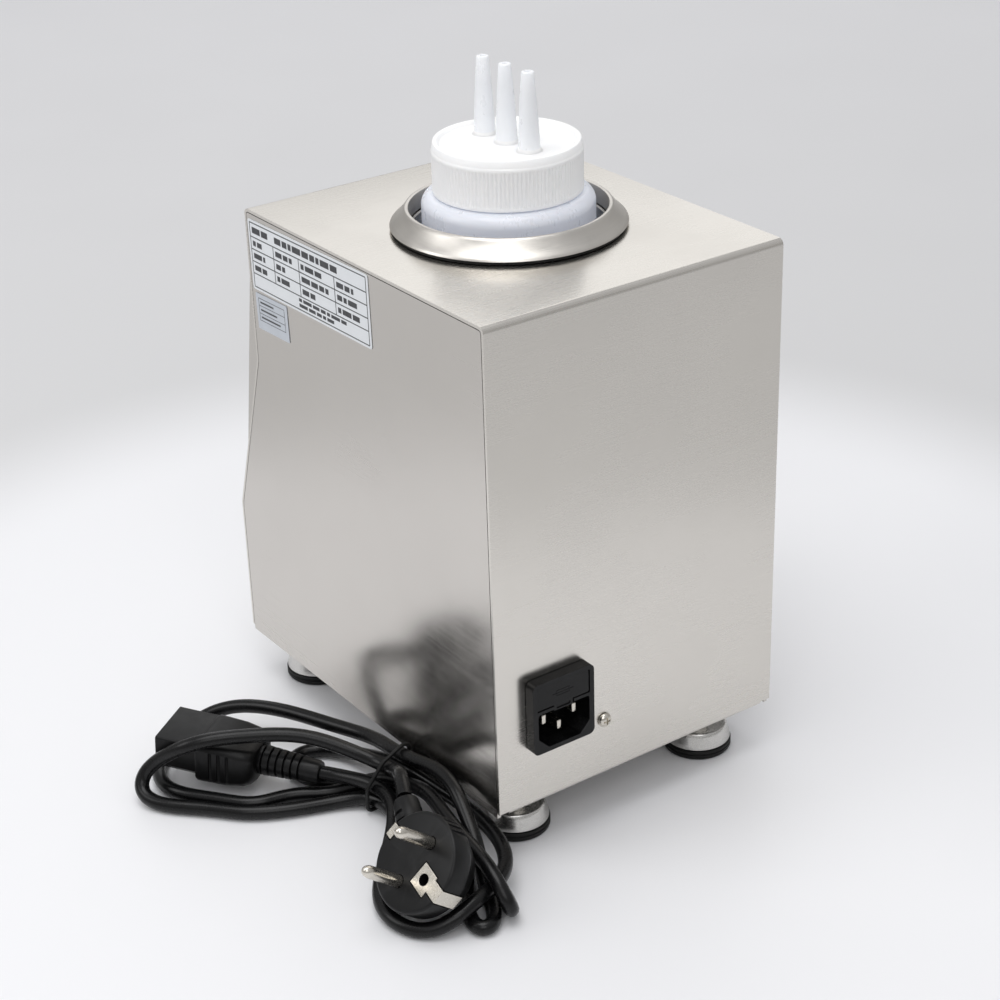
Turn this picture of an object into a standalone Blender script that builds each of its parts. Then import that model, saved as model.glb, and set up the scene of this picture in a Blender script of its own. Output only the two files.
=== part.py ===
"""Counter-top sauce-bottle warmer: a folded stainless casing with a sloped control panel, a round heated well that
takes one squeeze bottle with a three-nozzle cap, a fused mains inlet at the rear, four cup feet, and a loose mains lead.

Frame: +Z up, origin on the table under the middle of the machine, controls towards -Y, mains inlet on the rear (+Y).
Lengths below are in millimetres; MM turns them into Blender's metres.
"""

import math

import bmesh
import bpy
import numpy as np
from mathutils import Matrix, Vector

MM = 0.001

# ---------------------------------------------------------------- driving dimensions (mm)
CASE_W = 134.0  # across the two side panels
REAR_Y = 93.0  # outer face of the rear panel
FRONT_LOW_Y = -91.0  # lower front face
FRONT_TOP_Y = -67.0  # upper front face
BASE_Z = 21.0  # underside of the casing above the table
TOP_Z = 219.0  # top plate
SLOPE_LOW_Z = 82.5  # the sloped control panel's two bends
SLOPE_TOP_Z = 155.0
SHEET = 1.2  # casing sheet
BEND = 2.6  # outside radius of its bends
GAP = 0.3  # clearance kept between touching pieces
HEM = 12.0  # depth of the folded bottom hems
PAN_FLANGE = 10.0  # depth of the side pans' flanges

WELL_Y = 15.3  # axis of the well, on the machine's centre plane
WELL_R = 36.6  # inside radius of the heated well
WELL_WALL = 0.8
WELL_FLOOR_Z = 35.5
COLLAR_R = 44.8  # foot of the collar's cone
LIP_R = 38.2  # top lip of the collar
COLLAR_H = 8.4

BOTTLE_R = 32.6
BOTTLE_WALL = 1.1
BOTTLE_Z = 38.0  # underside of the bottle
SHOULDER_Z = 232.7
NECK_R = 26.2
NECK_TOP_Z = 248.0
CAP_R = 28.2
CAP_LOW_Z = 233.2
CAP_STEP_Z = 249.4
CAP_TOP_Z = 252.4
CAP_PLATE_Z = 251.0
NOZZLE_PITCH = 14.0
NOZZLE_TIP_Z = 280.3

FOOT_X, FOOT_Y = 46.1, 73.0
PAD_R, PAD_H = 13.8, 4.0

KNOB_X, LAMP_X, SWITCH_X = 28.0, -10.0, -40.0
KNOB_H = 16.56

INLET_X, INLET_Z = 39.7, 61.25  # centre of the mains inlet's bezel
INLET_PROUD = 4.8
EARTH_X, EARTH_Z = 17.5, 46.2


# ---------------------------------------------------------------- scene
for old in list(bpy.data.objects):
    bpy.data.objects.remove(old, do_unlink=True)

PARTS = bpy.data.collections.new("sauce_bottle_warmer")
CUTTERS = bpy.data.collections.new("cutters")
bpy.context.scene.collection.children.link(PARTS)
bpy.context.scene.collection.children.link(CUTTERS)

COLOURS = {
    "steel": ((0.72, 0.71, 0.68), 0.32, 1.0),
    "bright": ((0.80, 0.79, 0.76), 0.22, 1.0),
    "black": ((0.018, 0.018, 0.019), 0.42, 0.0),
    "rubber": ((0.012, 0.012, 0.012), 0.62, 0.0),
    "pvc": ((0.012, 0.012, 0.014), 0.38, 0.0),
    "white": ((0.88, 0.89, 0.91), 0.35, 0.0),
    "bottle": ((0.80, 0.83, 0.90), 0.30, 0.0),
    "label": ((0.86, 0.88, 0.90), 0.45, 0.0),
    "label_grey": ((0.56, 0.60, 0.64), 0.50, 0.0),
    "silicone": ((0.55, 0.12, 0.07), 0.60, 0.0),
    "wool": ((0.80, 0.76, 0.62), 0.95, 0.0),
    "nickel": ((0.78, 0.74, 0.66), 0.18, 1.0),
    "copper": ((0.78, 0.42, 0.25), 0.30, 1.0),
    "ceramic": ((0.85, 0.83, 0.78), 0.40, 0.0),
    "red": ((0.62, 0.03, 0.02), 0.25, 0.0),
    "glass": ((0.80, 0.85, 0.85), 0.05, 0.0),
    "brown": ((0.22, 0.09, 0.03), 0.40, 0.0),
    "blue": ((0.05, 0.16, 0.55), 0.40, 0.0),
    "green": ((0.35, 0.55, 0.05), 0.40, 0.0),
}


def material(name, kind):
    colour, rough, metal = COLOURS[kind]
    mat = bpy.data.materials.new(name)
    mat.use_nodes = True
    shader = mat.node_tree.nodes["Principled BSDF"]
    shader.inputs["Base Color"].default_value = (*colour, 1.0)
    shader.inputs["Roughness"].default_value = rough
    shader.inputs["Metallic"].default_value = metal
    mat.diffuse_color = (*colour, 1.0)
    return mat


# ---------------------------------------------------------------- helpers
def frame_at(origin, u, v):
    """A matrix whose local X, Y, Z run along u, v and u x v, at origin (mm)."""
    u, v = Vector(u).normalized(), Vector(v).normalized()
    w = u.cross(v)
    m = Matrix((u, v, w)).transposed().to_4x4()
    m.translation = Vector(origin) * MM
    return m


def moved(x, y, z):
    return Matrix.Translation(Vector((x, y, z)) * MM)


def linked(obj, matrix=None):
    PARTS.objects.link(obj)
    if matrix is not None:
        obj.matrix_basis = matrix
    return obj


def baked(obj):
    """The object as a plain mesh, with its modifiers or curve bevel applied and its caps welded."""
    bpy.context.view_layer.update()
    graph = bpy.context.evaluated_depsgraph_get()
    mesh = bpy.data.meshes.new_from_object(obj.evaluated_get(graph))
    bm = bmesh.new()
    bm.from_mesh(mesh)
    bmesh.ops.remove_doubles(bm, verts=bm.verts, dist=2e-6)
    bmesh.ops.dissolve_degenerate(bm, edges=bm.edges, dist=1e-7)
    bm.to_mesh(mesh)
    bm.free()
    name, matrix = obj.name, obj.matrix_basis.copy()
    bpy.data.objects.remove(obj, do_unlink=True)
    mesh.name = name
    return linked(bpy.data.objects.new(name, mesh), matrix)


def clockwise(points):
    area = sum(a[0] * b[1] - b[0] * a[1] for a, b in zip(points, points[1:] + points[:1]))
    return points if area < 0 else points[::-1]


def turned(name, profile, matrix=None, steps=32):
    """A turned piece: profile is (radius, height) in mm round local Z; a profile that ends on the axis stays open there."""
    pts = clockwise([tuple(map(float, p)) for p in profile])
    on_axis = [i for i, p in enumerate(pts) if p[0] == 0.0]
    closed = not on_axis
    if on_axis:  # start right after the edge that lies along the axis
        for i in on_axis:
            if pts[i - 1][0] == 0.0:
                pts = pts[i:] + pts[:i]
                break
    bm = bmesh.new()
    verts = [bm.verts.new((r * MM, 0.0, z * MM)) for r, z in pts]
    for a, b in zip(verts, verts[1:]):
        bm.edges.new((a, b))
    if closed:
        bm.edges.new((verts[-1], verts[0]))
    mesh = bpy.data.meshes.new(name)
    bm.to_mesh(mesh)
    bm.free()
    obj = linked(bpy.data.objects.new(name, mesh), matrix)
    screw = obj.modifiers.new("turn", "SCREW")
    screw.axis = "Z"
    screw.steps = screw.render_steps = steps
    screw.use_merge_vertices = True
    screw.merge_threshold = 1e-6
    return baked(obj)


def block(name, size, centre=(0, 0, 0), matrix=None, bevel=0.0, segments=2, edges="all"):
    """A box of size (mm) about centre, in the matrix's frame, with its edges (or only those along local Z) rounded."""
    bm = bmesh.new()
    bmesh.ops.create_cube(bm, size=1.0)
    bmesh.ops.scale(bm, vec=Vector(size) * MM, verts=bm.verts)
    bmesh.ops.translate(bm, vec=Vector(centre) * MM, verts=bm.verts)
    if bevel:
        chosen = [
            e for e in bm.edges
            if edges == "all" or abs((e.verts[0].co - e.verts[1].co).normalized().z) > 0.99
        ]
        bmesh.ops.bevel(bm, geom=chosen, offset=bevel * MM, segments=segments, affect="EDGES", profile=0.5)
    mesh = bpy.data.meshes.new(name)
    bm.to_mesh(mesh)
    bm.free()
    return linked(bpy.data.objects.new(name, mesh), matrix)


def rod(name, radius, low, high, matrix=None, steps=16, chamfer=0.0):
    c = chamfer
    if c:
        prof = [(0, low), (radius - c, low), (radius, low + c), (radius, high - c), (radius - c, high), (0, high)]
    else:
        prof = [(0, low), (radius, low), (radius, high), (0, high)]
    return turned(name, prof, matrix, steps)


def flat(name, outline, low, high, matrix=None, holes=()):
    """A flat piece: outline (and holes) are 2D points in mm, extruded from low to high along local Z."""
    curve = bpy.data.curves.new(name, "CURVE")
    curve.dimensions = "2D"
    curve.fill_mode = "BOTH"
    curve.extrude = (high - low) / 2 * MM
    for loop in (outline, *holes):
        spline = curve.splines.new("POLY")
        spline.points.add(len(loop) - 1)
        for point, (x, y) in zip(spline.points, loop):
            point.co = (x * MM, y * MM, 0.0, 1.0)
        spline.use_cyclic_u = True
    obj = linked(bpy.data.objects.new(name, curve))
    obj = baked(obj)
    obj.data.transform(moved(0, 0, (low + high) / 2))
    if matrix is not None:
        obj.matrix_basis = matrix
    bm = bmesh.new()
    bm.from_mesh(obj.data)
    bmesh.ops.recalc_face_normals(bm, faces=bm.faces)
    bm.to_mesh(obj.data)
    bm.free()
    return obj


def tube(name, points, radius, resolution=2, cyclic=False):
    """A wire or cord through points (mm), round in section."""
    curve = bpy.data.curves.new(name, "CURVE")
    curve.dimensions = "3D"
    curve.bevel_depth = radius * MM
    curve.bevel_resolution = resolution
    curve.use_fill_caps = not cyclic
    spline = curve.splines.new("POLY")
    spline.points.add(len(points) - 1)
    for point, p in zip(spline.points, points):
        point.co = (p[0] * MM, p[1] * MM, p[2] * MM, 1.0)
    spline.use_cyclic_u = cyclic
    return baked(linked(bpy.data.objects.new(name, curve)))


def combined(target, other, operation="DIFFERENCE"):
    """target with other cut away (or joined on), by an exact Boolean; other is used up."""
    PARTS.objects.unlink(other)
    CUTTERS.objects.link(other)
    other.hide_render = True
    other.display_type = "WIRE"
    cut = target.modifiers.new("boolean", "BOOLEAN")
    cut.operation = operation
    cut.solver = "EXACT"
    cut.object = other
    result = baked(target)
    bpy.data.objects.remove(other, do_unlink=True)
    return result


def cut(target, *others):
    for other in others:
        target = combined(target, other)
    return target


def join(target, *others):
    for other in others:
        target = combined(target, other, "UNION")
    return target


def finished(obj, kind, angle=35):
    mat = material(obj.name, kind)
    obj.data.materials.clear()
    obj.data.materials.append(mat)
    obj.data.shade_smooth()
    obj.data.set_sharp_from_angle(angle=math.radians(angle))
    return obj


def ride(empty, *objs):
    for obj in objs:
        obj.parent = empty
        obj.matrix_parent_inverse = empty.matrix_basis.inverted()


def joint_axis(name, matrix):
    empty = bpy.data.objects.new(name, None)
    empty.empty_display_size = 0.02
    linked(empty, matrix)
    return empty


def own_origin(obj, matrix):
    """Moves the object's origin to matrix without moving its shape."""
    obj.data.transform(matrix.inverted() @ obj.matrix_basis)
    obj.matrix_basis = matrix
    return obj


def rounded(points, radii, steps=4, closed=False):
    """The 2D path with each corner replaced by an arc."""
    out, n = [], len(points)
    for i, p in enumerate(points):
        r = radii[i] if hasattr(radii, "__len__") else radii
        if (not closed and i in (0, n - 1)) or r <= 0:
            out.append(tuple(p))
            continue
        p, a, b = np.array(p, float), np.array(points[i - 1], float), np.array(points[(i + 1) % n], float)
        u, v = (a - p) / np.linalg.norm(a - p), (b - p) / np.linalg.norm(b - p)
        half = math.acos(max(-1.0, min(1.0, float(u @ v)))) / 2
        back = r / math.tan(half)
        centre = p + (u + v) / np.linalg.norm(u + v) * (r / math.sin(half))
        start, end = p + u * back - centre, p + v * back - centre
        turn = math.atan2(start[0] * end[1] - start[1] * end[0], float(start @ end))
        for k in range(steps + 1):
            t = turn * k / steps
            c, s = math.cos(t), math.sin(t)
            q = centre + np.array([c * start[0] - s * start[1], s * start[0] + c * start[1]])
            out.append((float(q[0]), float(q[1])))
    return out


def ring(radius, steps=32, cx=0.0, cy=0.0):
    return [
        (cx + radius * math.cos(2 * math.pi * k / steps), cy + radius * math.sin(2 * math.pi * k / steps))
        for k in range(steps)
    ]


def rectangle(w, h, cx=0.0, cy=0.0, r=0.0, steps=3):
    pts = [(cx - w / 2, cy - h / 2), (cx + w / 2, cy - h / 2), (cx + w / 2, cy + h / 2), (cx - w / 2, cy + h / 2)]
    return rounded(pts, r, steps, closed=True) if r else pts


# ---------------------------------------------------------------- frames of the sloped panel and the rear panel
slope_dir = Vector((0.0, FRONT_TOP_Y - FRONT_LOW_Y, SLOPE_TOP_Z - SLOPE_LOW_Z)).normalized()  # up the slope
PANEL_MID = Vector((0.0, (FRONT_TOP_Y + FRONT_LOW_Y) / 2, (SLOPE_TOP_Z + SLOPE_LOW_Z) / 2))


def on_panel(x):
    """Local X across, Y up the slope, Z out of the panel."""
    return frame_at((x, PANEL_MID.y, PANEL_MID.z), (1, 0, 0), slope_dir)


def on_rear(x, z):
    """Local X towards -X, Y up, Z out of the rear panel."""
    return frame_at((x, REAR_Y, z), (-1, 0, 0), (0, 0, 1))


def upright(x, y):
    return moved(x, y, 0)


WELL = upright(0, WELL_Y)

# ---------------------------------------------------------------- casing
path = [
    (REAR_Y - HEM, BASE_Z), (REAR_Y, BASE_Z), (REAR_Y, TOP_Z), (FRONT_TOP_Y, TOP_Z),
    (FRONT_TOP_Y, SLOPE_TOP_Z), (FRONT_LOW_Y, SLOPE_LOW_Z), (FRONT_LOW_Y, BASE_Z), (FRONT_LOW_Y + HEM, BASE_Z),
]
outer = rounded(path, [0, BEND, BEND, BEND, BEND, BEND, BEND, 0], steps=4)


def strip(name, line, x0, x1, thickness):
    """A folded strip: the (y, z) line swept from x0 to x1, outer face on the line, sheet inside it."""
    bm = bmesh.new()
    left = [bm.verts.new((x0 * MM, y * MM, z * MM)) for y, z in line]
    right = [bm.verts.new((x1 * MM, y * MM, z * MM)) for y, z in line]
    for i in range(len(line) - 1):
        bm.faces.new((left[i], right[i], right[i + 1], left[i + 1]))
    bm.normal_update()
    middle = bm.faces[:][len(line) // 4]
    if middle.normal.y < 0 and middle.calc_center_median().y > 0:
        bmesh.ops.reverse_faces(bm, faces=bm.faces)
    mesh = bpy.data.meshes.new(name)
    bm.to_mesh(mesh)
    bm.free()
    obj = linked(bpy.data.objects.new(name, mesh))
    solid = obj.modifiers.new("sheet", "SOLIDIFY")
    solid.thickness = thickness * MM
    solid.offset = -1.0
    solid.use_even_offset = True
    return baked(obj)


wrap = strip("casing_wrap", outer, -CASE_W / 2, CASE_W / 2, SHEET)
wrap = cut(
    wrap,
    rod("hole", WELL_R + WELL_WALL + 0.6, TOP_Z - 6, TOP_Z + 6, WELL, 40),
    block("hole", (25.9, 27.7, 12), (0, 0, 0), on_rear(INLET_X, INLET_Z)),
    rod("hole", 2.2, -6, 6, on_rear(EARTH_X, EARTH_Z), 12),
    rod("hole", 5.3, -6, 6, on_panel(KNOB_X), 16),
    rod("hole", 4.4, -6, 6, on_panel(LAMP_X), 16),
    block("hole", (13.6, 19.8, 12), (0, 0, 0), on_panel(SWITCH_X)),
)
SCREWS = [(sx * 26.0, y) for sx in (-1, 1) for y in (REAR_Y - 8.0, FRONT_LOW_Y + 8.0)]
for x, y in SCREWS:
    wrap = cut(wrap, rod("hole", 2.0, BASE_Z - 2, BASE_Z + 4, upright(x, y), 12))
for side in (-1, 1):  # the hems stop short of the side panels, with a relief notch in each corner
    for y in (REAR_Y, FRONT_LOW_Y):
        wrap = cut(wrap, block("notch", (10.0, 2 * HEM + 4, 4.0), (side * (CASE_W / 2 - 4.5 + 5.0), y, BASE_Z)))
finished(wrap, "steel")

inset = SHEET + GAP
pan_path = [
    (REAR_Y - inset, BASE_Z), (REAR_Y - inset, TOP_Z - inset), (FRONT_TOP_Y + inset, TOP_Z - inset),
    (FRONT_TOP_Y + inset, SLOPE_TOP_Z), (FRONT_LOW_Y + inset, SLOPE_LOW_Z), (FRONT_LOW_Y + inset, BASE_Z),
]
# the sloped face, moved in by the inset along its normal, meets the two vertical faces lower and higher up
lean = math.atan2(FRONT_TOP_Y - FRONT_LOW_Y, SLOPE_TOP_Z - SLOPE_LOW_Z)
shift = inset * math.tan(lean / 2)
pan_path[3] = (FRONT_TOP_Y + inset, SLOPE_TOP_Z - shift)
pan_path[4] = (FRONT_LOW_Y + inset, SLOPE_LOW_Z - shift)
pan_outer = rounded(pan_path, [0, BEND - inset, BEND - inset, BEND + inset, BEND - inset, 0], steps=3)
# the rear, top and front faces carry flanges; the bottom edge is left open
for side, name in ((1, "side_panel_right"), (-1, "side_panel_left")):
    bm = bmesh.new()
    x = side * CASE_W / 2
    rim = [bm.verts.new((x * MM, y * MM, z * MM)) for y, z in pan_outer]
    inner = [bm.verts.new(((x - side * PAN_FLANGE) * MM, y * MM, z * MM)) for y, z in pan_outer]
    bm.faces.new(rim)
    for i in range(len(rim) - 1):
        bm.faces.new((rim[i], rim[i + 1], inner[i + 1], inner[i]))
    bmesh.ops.recalc_face_normals(bm, faces=bm.faces)
    bm.normal_update()
    bm.faces.ensure_lookup_table()
    if bm.faces[0].normal.x * side < 0:
        bmesh.ops.reverse_faces(bm, faces=bm.faces)
    mesh = bpy.data.meshes.new(name)
    bm.to_mesh(mesh)
    bm.free()
    pan = linked(bpy.data.objects.new(name, mesh))
    solid = pan.modifiers.new("sheet", "SOLIDIFY")
    solid.thickness = SHEET * MM
    solid.offset = -1.0
    solid.use_even_offset = True
    pan = cut(baked(pan), block("relief", (11.0, 200.0, 4.4), (side * (CASE_W / 2 - SHEET - 0.4 - 5.5), 0, BASE_Z)))
    finished(pan, "steel")

PLATE_Z = BASE_Z + SHEET + 0.4
half_in = CASE_W / 2 - SHEET - GAP
plate_y0, plate_y1 = FRONT_LOW_Y + inset + SHEET + 0.4, REAR_Y - inset - SHEET - 0.4
section = rounded([(-half_in, PLATE_Z + 12), (-half_in, PLATE_Z), (half_in, PLATE_Z), (half_in, PLATE_Z + 12)], 2.2, 3)
bm = bmesh.new()
row0 = [bm.verts.new((x * MM, plate_y0 * MM, z * MM)) for x, z in section]
row1 = [bm.verts.new((x * MM, plate_y1 * MM, z * MM)) for x, z in section]
for i in range(len(section) - 1):
    bm.faces.new((row0[i], row1[i], row1[i + 1], row0[i + 1]))
bm.normal_update()
bm.faces.ensure_lookup_table()
if bm.faces[len(section) // 2 - 1].normal.z > 0:
    bmesh.ops.reverse_faces(bm, faces=bm.faces)
mesh = bpy.data.meshes.new("base_plate")
bm.to_mesh(mesh)
bm.free()
plate = linked(bpy.data.objects.new("base_plate", mesh))
solid = plate.modifiers.new("sheet", "SOLIDIFY")
solid.thickness = SHEET * MM
solid.offset = -1.0
plate = baked(plate)
FEET = {"rear_right": (FOOT_X, FOOT_Y), "rear_left": (-FOOT_X, FOOT_Y), "front_right": (FOOT_X, -FOOT_Y), "front_left": (-FOOT_X, -FOOT_Y)}
for x, y in FEET.values():
    plate = cut(plate, rod("hole", 3.4, PLATE_Z - 3, PLATE_Z + 4, upright(x, y), 12))
for x, y in SCREWS:
    plate = cut(plate, rod("hole", 2.0, PLATE_Z - 3, PLATE_Z + 4, upright(x, y), 12))
for k in range(6):  # vent slots
    plate = cut(plate, flat("slot", rectangle(34, 3.2, 0, -30 + 12.0 * k, 1.5, 3), PLATE_Z - 3, PLATE_Z + 4))
finished(plate, "steel")

for i, (x, y) in enumerate(SCREWS):
    m = moved(x, y, BASE_Z - GAP)
    s = turned("base_screw_%d" % (i + 1), [(0, 7.5), (1.6, 7.5), (1.6, 0.0), (2.9, 0.0), (3.0, -0.5), (2.4, -1.5), (1.2, -1.9), (0, -1.95)], m, 14)
    s = cut(
        s,
        block("slot", (3.0, 0.7, 1.6), (0, 0, -1.9), m),
        block("slot", (0.7, 3.0, 1.6), (0, 0, -1.9), m),
    )
    finished(s, "nickel")

# ---------------------------------------------------------------- feet
for name, (x, y) in FEET.items():
    m = upright(x, y)
    finished(turned("foot_pad_" + name, [(0, 0), (12.9, 0), (PAD_R, 0.9), (PAD_R, PAD_H), (0, PAD_H)], m, 20), "rubber")
    finished(
        turned(
            "foot_cup_" + name,
            [(0, PAD_H + 0.3), (13.4, PAD_H + 0.3), (13.0, 6.6), (11.9, 10.8), (11.0, 11.2), (4.6, 9.8), (4.4, BASE_Z + 0.9), (3.0, BASE_Z + 0.9),
             (3.0, PLATE_Z + 7.4), (0, PLATE_Z + 7.4)],
            m, 20,
        ),
        "steel",
    )
    nut = flat("foot_nut_" + name, ring(5.75, 6), PLATE_Z + SHEET + GAP, PLATE_Z + SHEET + GAP + 4.0, m, [ring(3.3, 12)])
    finished(nut, "nickel")

# ---------------------------------------------------------------- well, collar and heating
finished(
    turned(
        "heating_well",
        [(0, WELL_FLOOR_Z), (31.0, WELL_FLOOR_Z), (34.4, WELL_FLOOR_Z + 1.4), (36.1, WELL_FLOOR_Z + 4.6), (WELL_R, WELL_FLOOR_Z + 8.5),
         (WELL_R, TOP_Z + 0.6), (WELL_R + 0.5, TOP_Z + 1.1), (41.0, TOP_Z + 1.1), (41.0, TOP_Z + GAP), (WELL_R + 1.0, TOP_Z + GAP),
         (WELL_R + WELL_WALL, TOP_Z - 0.2), (WELL_R + WELL_WALL, WELL_FLOOR_Z + 8.3), (36.8, WELL_FLOOR_Z + 4.2), (34.9, WELL_FLOOR_Z + 0.6),
         (31.2, WELL_FLOOR_Z - 1.0), (0, WELL_FLOOR_Z - 1.0)],
        WELL, 32,
    ),
    "steel",
)
finished(turned("collar_gasket", [(41.5, TOP_Z + GAP), (44.0, TOP_Z + GAP), (44.0, TOP_Z + 1.3), (41.5, TOP_Z + 1.3)], WELL, 32), "rubber")
c0 = TOP_Z + 1.6
finished(
    turned(
        "collar_ring",
        [(LIP_R, TOP_Z + COLLAR_H), (LIP_R + 0.9, TOP_Z + COLLAR_H - 0.3), (41.9, TOP_Z + 4.6), (44.4, TOP_Z + 2.6), (COLLAR_R, c0),
         (43.7, c0), (42.9, c0 + 0.9), (40.9, TOP_Z + 3.7), (38.7, TOP_Z + 5.9), (38.4, c0), (37.5, c0), (37.5, TOP_Z + 7.6)],
        WELL, 36,
    ),
    "bright",
)
band = turned("heater_band", [(37.8, 60), (39.3, 60), (39.3, 140), (37.8, 140)], WELL, 28)
band = cut(band, block("slit", (5, 12, 90), (0, 39, 100), WELL))
finished(band, "silicone")
finished(turned("insulation_jacket", [(44.6, 50), (51.5, 50), (51.5, 200), (44.6, 200)], WELL, 24), "wool")
cutout = rod("thermal_cutout", 8.0, 27.6, WELL_FLOOR_Z - 1.3, WELL, 18, 0.6)
cutout = join(cutout, block("tab", (21, 4, 0.8), (0, 0, 28.6), WELL))
finished(cutout, "ceramic")

# ---------------------------------------------------------------- thermostat, knob, switch and lamp on the sloped panel
P = on_panel(KNOB_X)
body = block("thermostat_body", (34, 30, 24), (0, 0, -SHEET - GAP - 12), P, 1.5)
body = join(body, rod("bush", 4.8, -4, 3.6, P, 16), block("terminal", (16, 0.8, 8), (0, 12, -SHEET - 28), P))
body = cut(body, rod("bore", 3.3, -9, 5, P, 16))
finished(body, "black")
finished(flat("dial_plate", ring(24.0, 28), 0.15, 0.75, P, [ring(5.3, 16)]), "steel")
finished(flat("thermostat_nut", ring(8.0, 6), 1.05, 3.1, P, [ring(5.15, 16)]), "nickel")
shaft = finished(rod("thermostat_shaft", 3.0, -8.5, 11.8, P, 16, 0.4), "nickel")
knob = turned(
    "control_knob",
    [(0, KNOB_H), (9.8, KNOB_H), (11.0, KNOB_H - 1.0), (11.6, 6.0), (12.2, 5.2), (15.6, 4.2), (16.0, 3.6), (16.0, 1.6), (15.0, 1.3),
     (10.6, 1.3), (10.6, 4.6), (3.3, 5.4), (3.3, 12.2), (0, 12.2)],
    P, 24,
)
knob = join(knob, block("pointer", (2.2, 11.2, 1.2), (0, 9.9, 4.6), P, 0.3, 1))
finished(knob, "black")

P = on_panel(SWITCH_X)
housing = block("rocker_switch_housing", (15.4, 21.4, 2.0), (0, 0, 1.2), P, 0.8, 2, "z")
housing = join(housing, block("body", (13.0, 19.2, 15.5), (0, 0, -6.5), P))
housing = cut(housing, block("pocket", (10.4, 16.6, 11), (0, 0, -3.0), P))
for k in (-1, 0, 1):
    housing = join(housing, block("blade", (0.8, 4.6, 8.6), (0, 6 * k, -18.0), P))
finished(housing, "black")
ROCKER_TILT = math.radians(10)
PIVOT = P @ moved(0, 0, -1.5)
rocker_outline = [
    (-7.0, 6.0), (-3.4, 4.9), (0, 4.5), (3.4, 4.9), (7.0, 6.0), (6.8, 1.0), (5.6, -2.2), (3.0, -4.2), (0, -4.8), (-3.0, -4.2), (-5.6, -2.2), (-6.8, 1.0),
]
# the outline lies in the panel's Y-Z plane and is extruded across it
side_on = Matrix(((0, 0, 1, 0), (1, 0, 0, 0), (0, 1, 0, 0), (0, 0, 0, 1)))
paddle = flat("rocker_switch_paddle", rocker_outline, -4.9, 4.9)
paddle.data.transform(Matrix.Rotation(ROCKER_TILT, 4, "X") @ side_on)
paddle.matrix_basis = PIVOT
finished(paddle, "red")

P = on_panel(LAMP_X)
finished(
    turned(
        "indicator_lamp",
        [(0, 4.0), (1.8, 3.7), (3.2, 2.7), (3.7, 1.5), (5.2, 1.5), (5.8, 1.0), (5.8, 0.3), (4.1, 0.3), (4.1, -14), (3.4, -15), (0, -15)], P, 20,
    ),
    "red",
)

# capillary and bulb of the thermostat; the bulb stands against the well, above the heater band
BULB_Y = WELL_Y - (WELL_R + WELL_WALL + 0.4 + 3.0)
finished(rod("sensing_bulb", 3.0, 146, 206, upright(0, BULB_Y), 12, 0.8), "copper")


def smooth_curve(points, count):
    """count points evenly spaced on a Catmull-Rom curve through points."""
    p = np.array(points, float)
    p = np.vstack([2 * p[0] - p[1], p, 2 * p[-1] - p[-2]])
    fine = []
    for i in range(1, len(p) - 2):
        a, b, c, d = p[i - 1 : i + 3]
        ta = 0.0
        tb = ta + math.sqrt(max(np.linalg.norm(b - a), 1e-6))
        tc = tb + math.sqrt(max(np.linalg.norm(c - b), 1e-6))
        td = tc + math.sqrt(max(np.linalg.norm(d - c), 1e-6))
        for t in np.linspace(tb, tc, 24, endpoint=False):
            ab = a * (tb - t) / (tb - ta) + b * (t - ta) / (tb - ta)
            bc = b * (tc - t) / (tc - tb) + c * (t - tb) / (tc - tb)
            cd = c * (td - t) / (td - tc) + d * (t - tc) / (td - tc)
            abc = ab * (tc - t) / (tc - ta) + bc * (t - ta) / (tc - ta)
            bcd = bc * (td - t) / (td - tb) + cd * (t - tb) / (td - tb)
            fine.append(abc * (tc - t) / (tc - tb) + bcd * (t - tb) / (tc - tb))
    fine.append(p[-2])
    fine = np.array(fine)
    run = np.concatenate([[0.0], np.cumsum(np.linalg.norm(np.diff(fine, axis=0), axis=1))])
    want = np.linspace(0.0, run[-1], count)
    return np.stack([np.interp(want, run, fine[:, k]) for k in range(3)], axis=1)


back = on_panel(KNOB_X) @ Vector((0, 13 * MM, (-SHEET - GAP - 24.6) * MM)) / MM
finished(
    tube("capillary_tube", smooth_curve([(back.x, back.y, back.z + 4), (20, -44, 160), (8, -40, 196), (0, BULB_Y - 0.5, 214), (0, BULB_Y, 206.5)], 18), 0.7, 1),
    "copper",
)

# ---------------------------------------------------------------- mains inlet
R = on_rear(INLET_X, INLET_Z)
FACE = INLET_PROUD
inlet = block("inlet_housing", (28.2, 30.2, FACE - GAP), (0, 0, (FACE + GAP) / 2), R, 2.4, 3, "z")
inlet = join(inlet, block("body", (25.3, 27.1, 24.0), (0, 0, -10.5), R, 1.0, 1, "z"))
sock_w, sock_h, sock_y = 23.6, 15.2, -5.55  # socket opening, its middle below the bezel's middle
w, h, ch = sock_w / 2, sock_h / 2, 4.6
socket = [(-w + ch, sock_y - h), (w - ch, sock_y - h), (w, sock_y - h + ch), (w, sock_y + h - 1), (w - 1, sock_y + h), (-w + 1, sock_y + h), (-w, sock_y + h - 1), (-w, sock_y - h + ch)]
inlet = cut(inlet, flat("socket", socket, -10.5, FACE + 1, R))
DRAW_Y, DRAW_W, DRAW_H = 8.2, 24.2, 9.8  # fuse drawer's front: middle above the bezel's middle
TAB_LOW, TAB_W = 0.9, 9.2  # the tab under its middle hangs over the socket's upper edge
inlet = cut(
    inlet,
    block("recess", (DRAW_W, DRAW_H, 4.0), (0, DRAW_Y, FACE - 1.0), R),
    block("tab_recess", (TAB_W, DRAW_Y - TAB_LOW, 4.0), (0, (DRAW_Y + TAB_LOW) / 2, FACE - 1.0), R),
    block("pocket", (22.4, 8.8, 20.4), (0, DRAW_Y, FACE - 12.0), R),
)
pins = {"inlet_pin_live": (-7.0, -3.0), "inlet_pin_neutral": (7.0, -3.0), "inlet_pin_earth": (0.0, -7.8)}
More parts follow.
